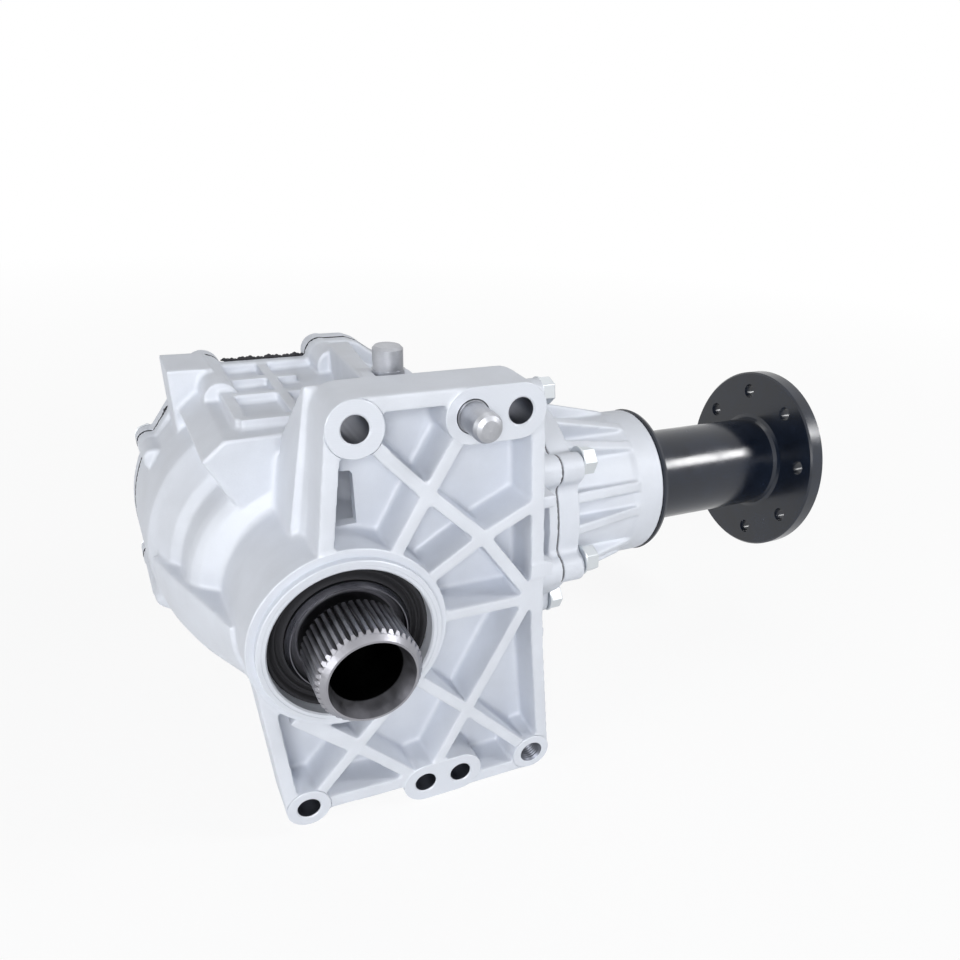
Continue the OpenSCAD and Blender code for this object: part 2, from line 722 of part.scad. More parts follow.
module cover_bolts() {
    color("dimgray")
    for (p = cover_ears)
        translate([p[0], cover_y + cover_flange_t, p[1]]) rotate([-90, 0, 0])
            hex_bolt(cover_bolt_r, cover_flats, cover_head, cover_flange_t + screw_depth - 1);
}

module pinion_housing() {
    color("gainsboro")
    difference() {
        union() {
            about_pinion() polygon([[0, spigot_end_x], [spigot_r - 1, spigot_end_x],
                                    [spigot_r, spigot_end_x + 1], [spigot_r, housing_x + 1],
                                    [nose_r + 4, housing_x + 1], [nose_r + 4, housing_face_x],
                                    [nose_r - 1, housing_face_x + 5],
                                    [nose_r - 1, nose_end_x - nose_band],
                                    [nose_r, nose_end_x - nose_band + 2],
                                    [nose_r, nose_end_x - 0.8], [nose_r - 0.8, nose_end_x],
                                    [0, nose_end_x]]);
            pinion_frame() translate([0, 0, housing_x])
                housing_flange(flange_t, flange_r - 0.3, ear_r - 0.3);
            gussets();
        }
        // Bearing seats, waist, seal seat
        about_pinion() polygon([[0, spigot_end_x - 1],
                                [head_bearing_r + 0.02, spigot_end_x - 1],
                                [head_bearing_r + 0.02, head_cone_end],
                                [head_bearing_r - 5, head_cone_end],
                                [tail_bearing_r - 5, tail_cone_x - 6],
                                [tail_bearing_r - 5, tail_cone_x],
                                [tail_bearing_r + 0.02, tail_cone_x],
                                [tail_bearing_r + 0.02, output_seal_x - 2],
                                [output_seal_r + 0.02, output_seal_x - 2],
                                [output_seal_r + 0.02, nose_end_x + 1], [0, nose_end_x + 1]]);
        // Groove of the sealing ring
        about_pinion() translate([spigot_r - 2.2, groove_x]) square([3, groove_w]);
        round_pinion(housing_bolt_circle, housing_bolts_n, first_bolt_angle)
            translate([0, 0, housing_x - 1]) cylinder(h = 30, r = m8_r + hole_play);
    }
}

// Pairs of gussets that run from the flange to the nose, one pair between each two bolts
module gussets() {
    pitch = 360 / housing_bolts_n;
    reach = nose_end_x - nose_band - housing_face_x + 4;
    for (i = [0 : housing_bolts_n - 1], side = [-1, 1])
        translate([housing_face_x, pinion_axis_y, 0])
            rotate([90 - first_bolt_angle + (i + 0.5) * pitch + side * gusset_turn, 0, 0])
            translate([0, gusset_w / 2, 0]) rotate([90, 0, 0]) linear_extrude(height = gusset_w)
            polygon([[-2, nose_r - 4], [-2, flange_r - 4], [reach - 3, nose_r + 1.2],
                     [reach, nose_r - 0.6], [reach, nose_r - 4]]);
}

module pinion_shim() {
    color("silver")
    pinion_frame() translate([0, 0, housing_seat_x])
        difference() {
            housing_flange(shim_t, flange_r - 0.6, ear_r - 0.6);
            translate([0, 0, -1]) cylinder(h = shim_t + 2, r = spigot_r + 0.5);
            at_housing_bolts() translate([housing_bolt_circle, 0, -1])
                cylinder(h = shim_t + 2, r = m8_r + 0.4);
        }
}

module pinion_housing_bolts() {
    color("dimgray")
    round_pinion(housing_bolt_circle, housing_bolts_n, first_bolt_angle)
        translate([0, 0, housing_face_x])
            hex_bolt(m8_r, m8_flats, housing_head, flange_t + shim_t + housing_screw_depth);
}

module spigot_o_ring() {
    color("black")
    about_pinion() translate([spigot_r - 1.1, groove_x + groove_w / 2]) circle(r = 1.1, $fn = 24);
}

// Lip seal about zero: a shell with a rubber lip towards the shaft
module lip_seal2d(shaft_r, bore_r, width) {
    inner = shaft_r + lip_gap;
    polygon([[bore_r, 0], [bore_r, width], [bore_r - 2, width], [bore_r - 2, 2.5],
             [inner + 3.5, 2.5], [inner + 2.2, width * 0.7], [inner, width * 0.55],
             [inner + 1.2, 2], [inner + 0.4, 0.6], [inner + 1.4, 0]]);
}

module input_seal() {
    color("black")
    translate([0, front_seal_depth - 10, 0]) about_y()
        lip_seal2d(sleeve_r, front_seal_r, 9.9);
}

module rear_seal() {
    color("black")
    translate([0, cover_back - 0.5, 0]) rotate([0, 0, 180]) about_y()
        lip_seal2d(tail_r, rear_seal_r, 7.4);
}

module output_seal() {
    color("black")
    pinion_frame() translate([0, 0, nose_end_x - 0.8]) mirror([0, 0, 1]) rotate_extrude()
        lip_seal2d(tube_r, output_seal_r, 11);
}

// Mean radius of a bearing's roller circle
function roller_circle(r_in, r_out) = (r_in + r_out) / 2;
// Mean radius of a bearing's rollers
function roller_r(r_in, r_out) = (r_out - r_in) * 0.23;
// Distance from the rollers' apex to the middle of the bearing
function apex(r_in, r_out) = roller_circle(r_in, r_out) / tan(roller_tilt);
// Half of a roller's taper angle
function taper(r_in, r_out) =
    asin(roller_r(r_in, r_out) * sin(roller_tilt) / roller_circle(r_in, r_out));
// Radius of the outer race at a distance from the middle
function outer_race(r_in, r_out, s) =
    (apex(r_in, r_out) + s) * tan(roller_tilt + taper(r_in, r_out));
// Radius of the inner race at a distance from the middle
function inner_race(r_in, r_out, s) =
    (apex(r_in, r_out) + s) * tan(roller_tilt - taper(r_in, r_out));

// Length of a roller
function roller_length(width) = width - 6;
// Distance from the bearing's middle to the rib that guides the rollers
function roller_end(r_in, r_out, width) =
    roller_length(width) / 2 * cos(roller_tilt) + roller_r(r_in, r_out) * sin(roller_tilt);

// Outer ring of a taper roller bearing that widens towards +Z
module bearing_cup(r_in, r_out, width) {
    half = width / 2;
    rotate_extrude()
        polygon([[outer_race(r_in, r_out, -half + 2), -half + 2], [r_out, -half + 2],
                 [r_out, half], [outer_race(r_in, r_out, half), half]]);
}

// Inner ring of a taper roller bearing, with the ribs that guide the rollers
module bearing_cone(r_in, r_out, width) {
    half = width / 2;
    run = roller_end(r_in, r_out, width);
    rotate_extrude()
        polygon([[r_in, -half], [inner_race(r_in, r_out, -half) + 0.9, -half],
                 [inner_race(r_in, r_out, -run) + 0.9, -run - 0.6],
                 [inner_race(r_in, r_out, -run), -run], [inner_race(r_in, r_out, run), run],
                 [inner_race(r_in, r_out, run) + 1.8, run + 0.3],
                 [inner_race(r_in, r_out, run) + 1.6, half], [r_in, half]]);
}

// One tapered roller on the X side, made thinner or thicker by a gap
module roller(r_in, r_out, width, gap) {
    length = roller_length(width);
    r_mid = roller_r(r_in, r_out);
    grow = length / 2 * tan(taper(r_in, r_out));
    translate([roller_circle(r_in, r_out), 0, 0]) rotate([0, roller_tilt, 0])
        translate([0, 0, -length / 2 + gap])
            cylinder(h = length - 2 * gap, r1 = r_mid - grow - gap, r2 = r_mid + grow - gap,
                     $fn = 32);
}

// Cage and rollers of a taper roller bearing
module bearing_rollers(r_in, r_out, width) {
    n = floor(180 / asin(roller_r(r_in, r_out) * 1.45 / roller_circle(r_in, r_out)));
    half = width / 2 - 1.2;
    middle = roller_circle(r_in, r_out) + 0.6;
    lean = tan(roller_tilt) * half;
    for (i = [0 : n - 1]) rotate(i * 360 / n) roller(r_in, r_out, width, roller_gap);
    difference() {
        rotate_extrude()
            polygon([[middle - lean, -half], [middle - lean + 1.3, -half],
                     [middle + lean + 1.3, half], [middle + lean, half]]);
        for (i = [0 : n - 1]) rotate(i * 360 / n) roller(r_in, r_out, width, -0.15);
    }
}

// Puts a bearing on the input axis: the front one widens backwards, the rear one forwards
module input_bearing(y, turn) {
    translate([0, y + input_bearing_w / 2, 0]) rotate([-90 + turn, 0, 0]) children();
}

module front_bearing_cup() {
    color("silver")
    input_bearing(front_cup_y, 0) bearing_cup(journal_r, input_bearing_r, input_bearing_w);
}

module rear_bearing_cup() {
    color("silver")
    input_bearing(rear_cup_y, 180) bearing_cup(journal_r, input_bearing_r, input_bearing_w);
}

module front_bearing_cone() {
    color("silver")
    input_bearing(front_cup_y, 0) bearing_cone(journal_r, input_bearing_r, input_bearing_w);
}

module rear_bearing_cone() {
    color("silver")
    input_bearing(rear_cup_y, 180) bearing_cone(journal_r, input_bearing_r, input_bearing_w);
}

module front_bearing_rollers() {
    color("darkgray")
    input_bearing(front_cup_y, 0) bearing_rollers(journal_r, input_bearing_r, input_bearing_w);
}

module rear_bearing_rollers() {
    color("darkgray")
    input_bearing(rear_cup_y, 180)
        bearing_rollers(journal_r, input_bearing_r, input_bearing_w);
}

// Puts a bearing on the pinion axis: the head one widens inwards, the tail one outwards
module pinion_bearing(x, width, turn) {
    translate([x + width / 2, pinion_axis_y, 0]) rotate([0, 90 + turn, 0]) children();
}

module head_bearing_cup() {
    color("silver")
    pinion_bearing(head_cone_x, head_bearing_w, 180)
        bearing_cup(head_journal_r, head_bearing_r, head_bearing_w);
}

module head_bearing_cone() {
    color("silver")
    pinion_bearing(head_cone_x, head_bearing_w, 180)
        bearing_cone(head_journal_r, head_bearing_r, head_bearing_w);
}

module head_bearing_rollers() {
    color("darkgray")
    pinion_bearing(head_cone_x, head_bearing_w, 180)
        bearing_rollers(head_journal_r, head_bearing_r, head_bearing_w);
}

module tail_bearing_cup() {
    color("silver")
    pinion_bearing(tail_cone_x, tail_bearing_w, 0)
        bearing_cup(tail_journal_r, tail_bearing_r, tail_bearing_w);
}

module tail_bearing_cone() {
    color("silver")
    pinion_bearing(tail_cone_x, tail_bearing_w, 0)
        bearing_cone(tail_journal_r, tail_bearing_r, tail_bearing_w);
}

module tail_bearing_rollers() {
    color("darkgray")
    pinion_bearing(tail_cone_x, tail_bearing_w, 0)
        bearing_rollers(tail_journal_r, tail_bearing_r, tail_bearing_w);
}

module mounting_dowel() {
    color("dimgray")
    translate([hole_b_x, 0, hole_b_z]) rotate([90, 0, 0]) rotate_extrude()
        polygon([[0, -dowel_seat], [dowel_r + pin_step, -dowel_seat], [dowel_r + pin_step, 0],
                 [dowel_r, 0], [dowel_r, dowel_proud - 3], [dowel_r - 0.9, dowel_proud - 1.2],
                 [dowel_r - 2.6, dowel_proud - 0.3], [0, dowel_proud]]);
}

module locating_pin() {
    color("dimgray")
    translate([pin_x, pin_y, pin_top]) rotate_extrude()
        polygon([[0, -pin_l], [pin_r + pin_step, -pin_l], [pin_r + pin_step, -9], [pin_r, -9],
                 [pin_r, -1], [pin_r - 1, 0], [0, 0]]);
}

module fill_plug() {
    color("dimgray")
    translate([fill_x, fill_y, fill_z]) rotate([-90, 0, 0])
        hex_bolt(plug_r, plug_flats, plug_head, plug_l);
}

module drain_plug() {
    color("dimgray")
    translate([0, plug_y, -drum_r - 4]) rotate([180, 0, 0])
        hex_bolt(plug_r, plug_flats, plug_head, plug_l);
}

// Outline of the splined nose
module spline2d() {
    tooth = 360 / spline_teeth;
    corners = [[-0.42, 1], [-0.2, 0], [0.2, 0], [0.42, 1]];
    polygon([for (i = [0 : spline_teeth - 1], c = corners)
        let (angle = (i + c[0]) * tooth)
        (spline_r - spline_depth * c[1]) * [cos(angle), sin(angle)]]);
}

module input_shaft() {
    color("gray")
    difference() {
        union() {
            intersection() {
                along_y(-shaft_nose, 0) spline2d();
                about_y() polygon([[0, -shaft_nose], [spline_r - 3.2, -shaft_nose],
                                   [spline_r + 0.3, -shaft_nose + 4.5], [spline_r + 0.3, 1],
                                   [0, 1]]);
            }
            about_y() polygon([[0, -1], [spline_r - spline_depth, -1], [journal_r, 1],
                               [journal_r, front_cup_end], [barrel_r + 1, front_cup_end],
                               [barrel_r + 1, front_cup_end + 3], [barrel_r, front_cup_end + 5],
                               [barrel_r, ring_root_y - 22], [gear_seat_r - 0.02, ring_root_y - 8],
                               [gear_seat_r - 0.02, ring_back_y], [gear_flange_r, ring_back_y],
                               [gear_flange_r, gear_flange_end], [journal_r + 3, gear_flange_end],
                               [journal_r + 3, rear_cup_y], [journal_r, rear_cup_y],
                               [journal_r, rear_cup_end + 1], [tail_r, rear_cup_end + 2],
                               [tail_r, cover_back + 1], [0, cover_back + 1]]);
        }
        about_y() polygon([[0, -shaft_nose - 1], [shaft_bore_r + 3, -shaft_nose - 1],
                           [shaft_bore_r, -shaft_nose + bore_lead], [shaft_bore_r, cover_back + 2],
                           [0, cover_back + 2]]);
        ring_bolt_places() translate([0, 0, -1]) cylinder(h = gear_flange_t + 2, r = m8_r + 0.2);
    }
}

// Places of the ring gear bolts, on the front of the shaft's flange and pointing backwards
module ring_bolt_places() {
    for (i = [0 : 7])
        rotate([0, i * 45 + 22.5, 0]) translate([(gear_seat_r + gear_flange_r) / 2, ring_back_y, 0])
            rotate([-90, 0, 0]) children();
}

module seal_sleeve() {
    color("gray")
    about_y() polygon([[journal_r + 0.02, 2.2], [journal_r + 0.6, 0.6], [sleeve_r - 1.6, 0.6],
                       [sleeve_r, 2.8], [sleeve_r, front_cup_y], [journal_r + 0.02, front_cup_y]]);
}

// Azimuth of a spherical involute at a polar angle, in degrees
function involute(base, polar) =
    let (t = acos(min(1, cos(polar) / cos(base))))
    t / sin(base) - atan2(tan(t), sin(base));

// Half of a tooth's angle at a polar angle
function half_tooth(n, delta, polar) =
    let (base = asin(sin(delta) * cos(pressure_angle)))
    let (pitch_r = cone_outer * sin(delta))
    90 / n - backlash / 4 / pitch_r * 180 / PI
        + involute(base, delta) - involute(base, max(base, polar));

// Point of a gear that is turned about Z, with its apex at zero
function sphere_point(r, polar, azimuth) =
    r * [sin(polar) * cos(azimuth), sin(polar) * sin(azimuth), cos(polar)];

// Turn of a section of a spiral tooth
function spiral(delta, r, hand) =
    hand * tan(spiral_angle) * ln(r / cone_mid) / sin(delta) * 180 / PI;

// Toothed part of a bevel gear with its apex at zero and its axis along Z. Each section
// lies on a sphere about the apex, so that the flanks are exact spherical involutes.
module bevel_teeth(n, delta, root, tip, hand, flank_steps, sections) {
    rows = [for (k = [0 : flank_steps]) root + (tip - root) * k / flank_steps];
    per_tooth = 2 * (flank_steps + 1);
    count = n * per_tooth;
    points = [for (s = [0 : sections])
        let (r = cone_inner + face_w * s / sections)
        for (i = [0 : n - 1], k = [0 : per_tooth - 1])
            let (row = k <= flank_steps ? rows[k] : rows[per_tooth - 1 - k])
            let (side = k <= flank_steps ? -1 : 1)
            sphere_point(r, row, i * 360 / n + side * half_tooth(n, delta, row)
                                 + spiral(delta, r, hand))];
    flanks = [for (s = [0 : sections - 1], j = [0 : count - 1])
        let (a = s * count + j)
        let (b = s * count + (j + 1) % count)
        each [[a, b + count, b], [a, a + count, b + count]]];
    ends = [for (s = [0, sections], i = [0 : n - 1], k = [0 : flank_steps - 1])
        let (foot = s * count + i * per_tooth)
        let (left = foot + k)
        let (right = foot + per_tooth - 1 - k)
        each s == 0 ? [[left, right - 1, right], [left, left + 1, right - 1]]
                    : [[left, right, right - 1], [left, right - 1, left + 1]]];
    feet = [for (s = [0, sections])
        let (foot = [for (i = [0 : n - 1], k = [0, per_tooth - 1]) s * count + i * per_tooth + k])
        s == 0 ? foot : [for (k = [2 * n - 1 : -1 : 0]) foot[k]]];
    polyhedron(points, concat(flanks, ends, feet), convexity = 10);
}

module ring_gear() {
    foot = ring_root_y - pinion_axis_y;
    rim = cone_outer * sin(ring_root);
    color("dimgray")
    translate([0, pinion_axis_y, 0]) rotate([-90, 0, 0])
        difference() {
            union() {
                bevel_teeth(ring_teeth, ring_delta, ring_root, ring_tip, 1, 3, 6);
                rotate_extrude()
                    polygon([[0, foot - 1], [rim - 3, foot - 1], [rim - 3, foot],
                             [rim + 1.5, foot], [rim + 1.5, foot + ring_web - 1],
                             [rim + 0.5, foot + ring_web], [0, foot + ring_web]]);
            }
            cylinder(h = foot + ring_web + 1, r = gear_seat_r);
            for (i = [0 : 7])
                rotate(i * 45 + 22.5)
                    translate([(gear_seat_r + gear_flange_r) / 2, 0, foot + ring_web - 10])
                        cylinder(h = 11, r = m8_r + hole_play);
        }
}

module ring_gear_bolts() {
    color("dimgray")
    ring_bolt_places() translate([0, 0, gear_flange_t])
        hex_bolt(m8_r, m8_flats, m8_head, gear_flange_t + 8);
}

module drive_pinion() {
    color("dimgray")
    pinion_frame() {
        rotate(90 - 180 / pinion_teeth)
            bevel_teeth(pinion_teeth, pinion_delta, pinion_root, pinion_tip, -1, 4, 6);
        rotate_extrude()
            polygon([[0, pinion_head_x - 4], [head_journal_r + 3, pinion_head_x - 4],
                     [head_journal_r + 3, head_cone_x], [head_journal_r - 0.02, head_cone_x],
                     [head_journal_r - 0.02, head_cone_end], [head_journal_r - 2, head_cone_end + 1],
                     [head_journal_r - 2, tail_cone_x - 8], [tail_journal_r - 0.02, tail_cone_x - 7],
                     [tail_journal_r - 0.02, tail_cone_end], [tail_journal_r - 0.8, tail_cone_end + 1],
                     [tail_journal_r - 0.8, hub_web_x - 2], [stud_r, hub_web_x - 1],
                     [stud_r, hub_web_x + 20], [stud_r - 1, hub_web_x + 21],
                     [0, hub_web_x + 21]]);
    }
}

module crush_spacer() {
    color("silver")
    about_pinion() ring2d(head_journal_r + 0.1, head_journal_r + 2.6, head_cone_end, tail_cone_x);
}

module output_flange() {
    color("black")
    difference() {
        about_pinion() polygon([[tail_journal_r - 0.75, tail_cone_end + 2],
                                [tail_journal_r + 1, tail_cone_end],
                                [tube_r - 1, tail_cone_end], [tube_r, tail_cone_end + 1],
                                [tube_r, output_near_x - 3], [tube_r + 1, output_near_x - 0.8],
                                [tube_r + 3, output_near_x], [output_flange_r - 1, output_near_x],
                                [output_flange_r, output_near_x + 1],
                                [output_flange_r, flange_face_x - 1],
                                [output_flange_r - 1, flange_face_x],
                                [output_pilot_r, flange_face_x],
                                [output_pilot_r, flange_face_x - output_pilot_depth],
                                [tube_bore_r, flange_face_x - output_pilot_depth - 2],
                                [tube_bore_r, hub_web_x], [tail_journal_r - 0.75, hub_web_x]]);
        round_pinion(output_bolt_circle, output_bolts_n, output_first_angle)
            translate([0, 0, output_near_x - 5]) cylinder(h = output_flange_t + 10, r = output_hole_r);
    }
}

module pinion_nut() {
    color("dimgray")
    pinion_frame() translate([0, 0, hub_web_x]) difference() {
        union() {
            translate([0, 0, 2.5]) linear_extrude(height = 13) hexagon(2 * stud_r + 10);
            cylinder(h = 3.5, r = stud_r + 8.5);
        }
        translate([0, 0, -1]) cylinder(h = 20, r = stud_r + 0.02);
    }
}

module dust_shield() {
    color("black")
    about_pinion() polygon([[tube_r + 0.02, nose_end_x + 0.5], [shield_r - 1, nose_end_x + 0.5],
                            [shield_r, nose_end_x + 1.5], [shield_r - 0.6, nose_end_x + 3.2],
                            [shield_r - 5, nose_end_x + 5.4], [tube_r + 2.4, nose_end_x + 6.4],
                            [tube_r + 2, nose_end_x + 7.4], [tube_r + 0.02, nose_end_x + 7.4]]);
}

main_case();
rear_cover();
case_sealant();
cover_bolts();
pinion_housing();
pinion_shim();
pinion_housing_bolts();
spigot_o_ring();
input_seal();
rear_seal();
output_seal();
front_bearing_cup();
rear_bearing_cup();
head_bearing_cup();
tail_bearing_cup();
mounting_dowel();
locating_pin();
fill_plug();
drain_plug();
input_shaft();
seal_sleeve();
ring_gear();
ring_gear_bolts();
front_bearing_cone();
rear_bearing_cone();
drive_pinion();
head_bearing_cone();
tail_bearing_cone();
crush_spacer();
output_flange();
pinion_nut();
dust_shield();
front_bearing_rollers();
rear_bearing_rollers();
head_bearing_rollers();
tail_bearing_rollers();
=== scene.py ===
"""Looks of a right-angle transfer case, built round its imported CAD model."""

import json
import math

import bmesh
import bpy
import numpy as np
from mathutils import Matrix, Vector


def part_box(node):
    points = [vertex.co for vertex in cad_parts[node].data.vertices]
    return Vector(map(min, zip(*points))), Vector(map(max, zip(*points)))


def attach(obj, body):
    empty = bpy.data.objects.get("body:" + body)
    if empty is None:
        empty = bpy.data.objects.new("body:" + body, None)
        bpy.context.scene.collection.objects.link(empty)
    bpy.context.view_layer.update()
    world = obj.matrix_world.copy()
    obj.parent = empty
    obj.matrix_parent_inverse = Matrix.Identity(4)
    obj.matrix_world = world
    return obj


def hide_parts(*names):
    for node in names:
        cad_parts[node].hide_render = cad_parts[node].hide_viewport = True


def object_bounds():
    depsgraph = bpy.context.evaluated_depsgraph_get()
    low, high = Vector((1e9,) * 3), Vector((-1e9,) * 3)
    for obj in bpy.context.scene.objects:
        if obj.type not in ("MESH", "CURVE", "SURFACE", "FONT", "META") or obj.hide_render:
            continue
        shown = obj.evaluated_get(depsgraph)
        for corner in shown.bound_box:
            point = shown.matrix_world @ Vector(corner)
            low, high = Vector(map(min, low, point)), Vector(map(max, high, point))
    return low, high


bl_info = {
    "name": "Transfer case",
    "version": (1, 0, 0),
    "blender": (4, 5, 0),
    "location": "3D View > Sidebar > Transfer case",
    "description": "Castings, seals, screws and finishes of a right-angle transfer case",
    "category": "Object",
}

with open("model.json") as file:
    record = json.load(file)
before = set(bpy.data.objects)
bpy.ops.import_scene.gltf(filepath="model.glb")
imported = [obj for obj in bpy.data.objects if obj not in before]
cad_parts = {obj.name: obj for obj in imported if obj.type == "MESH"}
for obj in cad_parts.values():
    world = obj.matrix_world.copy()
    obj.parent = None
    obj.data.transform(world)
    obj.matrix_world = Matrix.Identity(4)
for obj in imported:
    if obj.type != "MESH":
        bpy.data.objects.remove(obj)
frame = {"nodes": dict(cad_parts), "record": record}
cad_low, cad_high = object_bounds()

# Places in the row frame, in metres
PINION_Y = (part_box("output_flange")[0].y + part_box("output_flange")[1].y) / 2
FLOOR_Z = cad_low.z

# Lengths from here to the lamps are in millimetres
ORIGIN = (0, 0, 0)
ALONG_X = (1, 0, 0)
ALONG_Y = (0, 1, 0)
ALONG_Z = (0, 0, 1)
DOWNWARDS = (0, 0, -1)
# Distance of the pinion's axis behind the mounting face
PINION_DEPTH = 106

# The holes of the mounting plate, as (x, z)
HOLES = ((6.7, 92.5), (75, 92.5), (-25.4, -90.5), (34, -96.5), (53.1, -96.5))
DOWEL = (54, 92.5)
THREADED = (94.3, -97)
# The window in the floor of the upper left pocket, as (x, z), and the depths of the cut
WINDOW = ((1.9, 67), (3, 68.5), (9.0, 68.5), (10.2, 67), (10.9, 45.0), (1.9, 44.8))
WINDOW_DEPTHS = (13, 27)

# The machined bosses round one or two holes each, and their radius
WIDE_BOSS = 11.5
NARROW_BOSS = 10.5
BOSSES = ((HOLES[:1], WIDE_BOSS), ((DOWEL, HOLES[1]), WIDE_BOSS), (HOLES[2:3], NARROW_BOSS),
          (HOLES[3:], WIDE_BOSS), ((THREADED,), NARROW_BOSS))
# The bosses that a fine groove sets off from the casting
SET_OFF_BOSSES = ((HOLES[0], WIDE_BOSS), (HOLES[2], NARROW_BOSS), (THREADED, NARROW_BOSS))
# The radius within which a wall counts as drilled and gets the painted hole shade, hole by hole,
# and the depths that it spans
DRILLED = (*((place, 5.8) for place in HOLES), (THREADED, 6.1), (DOWEL, 7.2))
DRILLED_DEPTHS = (0.35, 26)

# Turned shapes, as (radius, depth) round an axis
PILOT_RING = ((34, -3.3), (38.2, -3.3), (38.4, -3.5), (40.1, -3.5), (40.5, -3.1), (40.5, -0.02),
              (43.6, -0.02), (44, 0.4), (44, 5), (34, 5))
SEAL_AND_BEARING_BORE = ((0, -5), (36.9, -5), (36.9, -3.5), (36.02, -2.6), (36.02, 13), (31, 13),
                         (31, 16), (35.02, 16), (35.02, 36), (0, 36))
FIXING_HOLE = ((0, -1), (6.1, -1), (6.1, 0), (5.5, 0.6), (5.5, 26), (0, 26))
BOLT_HEAD_ROOM = ((0, 25), (10, 25), (10, 60), (0, 60))
DOWEL_HOLE = ((0, -1), (7.1, -1), (7.1, 1.2), (6.62, 1.2), (6.62, 19), (0, 19))
SEAL_LIPS = (
    (36.0, 3.9), (35.4, 3.1), (34.3, 3.1), (33.9, 3.6), (33.8, 6.4), (33.1, 6.9),
    (32.5, 6.6), (32.2, 5.4), (31.7, 5.0), (31.2, 5.3), (31.0, 6.8), (30.4, 7.4),
    (29.8, 7.0), (29.4, 5.2), (28.6, 4.3), (27.9, 4.0), (27.7, 4.3), (28.3, 5.4),
    (28.6, 8.2), (27.75, 9.0), (28.4, 10.6), (30.6, 11.4), (31.2, 10.9), (31.3, 9.0),
    (33.6, 9.0), (33.8, 12.9), (36.0, 12.9))
SHAFT_RECESS = ((21.3, -3), (25.6, -3), (25.6, 0.7), (24.0, 5.4), (22.4, 6.2), (21.3, 5))

# The threaded hole: core radius, radius at the foot of the thread, pitch and number of turns
THREAD_CORE = 5.0
THREAD_FOOT = 5.7
THREAD_PITCH = 1.5
THREAD_TURNS = 12

# Hollow of the bell: radius against depth
HOLLOW_Y = (0, 38, 50, 65, 76, 103, 153)
HOLLOW_R = (37, 38, 39, 50, 52, 64.5, 65.5)

# The beads of sealant on the joint: name, the (x, z) of both ends, and radius
BEADS = (("sealant_bead_top", (-17, 78.2), (27, 78.2), 1.15),
         ("sealant_bead_side", (-56.6, 40), (-45.4, 58.2), 0.8))
BEAD_POINTS = 90
# Depth of the joint, and how far a bead strays from it
JOINT_DEPTH = 152.2
BEAD_STRAY = 0.3
# The waves that make a bead lumpy: turns along it, offset and share
BEAD_WAVES = ((23, 1, 0.4), (61, 0, 0.35), (147, 2, 0.25))

# The flanged screws, and where their heads sit
COVER_SCREW = {"radius": 3, "flats": 10, "head": 5, "length": 25}
COVER_SEAT_DEPTH = 161.6
COVER_SCREWS = ((-25, 73.5), (34, 78), (76, 60), (-56.93, 39.86), (-65.51, -23.2),
                (-30.47, -62.47), (16.81, -67.44), (52.45, -45.6))
HOUSING_SCREW = {"radius": 4, "flats": 13, "head": 9, "length": 27}
HOUSING_SEAT_X = 141
HOUSING_SCREWS = 7
HOUSING_CIRCLE = 61.5
HOUSING_FIRST = 88.7
PLUG = {"radius": 8, "flats": 19, "head": 6, "length": 10.5}
# The plugs: node, seat, axis, and the turn of the head in radians
PLUGS = (("fill_plug", (-43, 178.6, 27), ALONG_Y, 0.2),
         ("drain_plug", (0, 124, -74.5), DOWNWARDS, 0.3))

# The finish of each material slot. The castings' own nodes are hidden, so theirs never shows
SLOT_FINISH = {"black_rubber": "rubber", "zinc_steel": "zinc", "black_enamel": "enamel",
               "ground_steel": "ground", "bearing_steel": "bearing", "cast_aluminium": "zinc",
               "gear_steel": "gear_y"}
NODE_FINISH = {"drive_pinion": "gear_x", "seal_sleeve": "sleeve", "pinion_shim": "sleeve"}

# The lamps: name, place in metres, size in metres, and share of the key light's power
LAMPS = (("key", (-0.40, -1.05, 0.50), 0.45, 1.0),
         ("left", (-1.10, -0.25, 0.35), 0.5, 0.38),
         ("right", (0.88, -0.43, 0.61), 0.25, 0.45),
         ("top", (0.2, 0.5, 1.2), 0.7, 0.24))
LAMPS_AIM = Vector((0.1, 0.06, 0))
# The floor, in metres
FLOOR_SIZE = 60.0
FLOOR_MIDDLE = (0.1, 0.1, FLOOR_Z)
ROOM_COLOUR = (0.93, 0.96, 1.0, 1)
# The room's light grows weaker from the floor up, to this share
ROOM_TOP = 0.35

# The camera at the photo's viewing angle, in metres
CAMERA_PLACE = (-0.072789, -0.274046, 0.197816)
CAMERA_TURN = ((0.8994, 0.2034, -0.3870), (-0.4344, 0.5149, -0.7390), (0.0490, 0.8327, 0.5515))
CAMERA_LENS = 29.94
CAMERA_SHIFT = (-0.0207, 0.1468)


class CastingProps(bpy.types.PropertyGroup):
    """Sizes and colours of the three castings"""

    grid: bpy.props.FloatProperty(
        name="Grid", description="Size of the cells in which the castings are rounded",
        default=0.0009, min=0.0005, max=0.003, unit="LENGTH")
    triangles: bpy.props.IntProperty(
        name="Triangles", description="Most triangles that one casting keeps",
        default=190000, min=20000, max=198000)
    colour: bpy.props.FloatVectorProperty(
        name="Colour", description="Colour of the shot-blasted skin",
        default=(0.68, 0.71, 0.77), size=3, min=0, max=1, subtype="COLOR")
    machined: bpy.props.FloatVectorProperty(
        name="Machined colour", description="Colour of the milled and turned faces",
        default=(0.66, 0.69, 0.75), size=3, min=0, max=1, subtype="COLOR")
    # Painted shade: the dark colour of the drilled holes' walls stands in for the shade inside
    # them
    hole_shade_colour: bpy.props.FloatVectorProperty(
        name="Bore colour", description="Colour of the walls of the drilled holes",
        default=(0.16, 0.17, 0.2), size=3, min=0, max=1, subtype="COLOR")


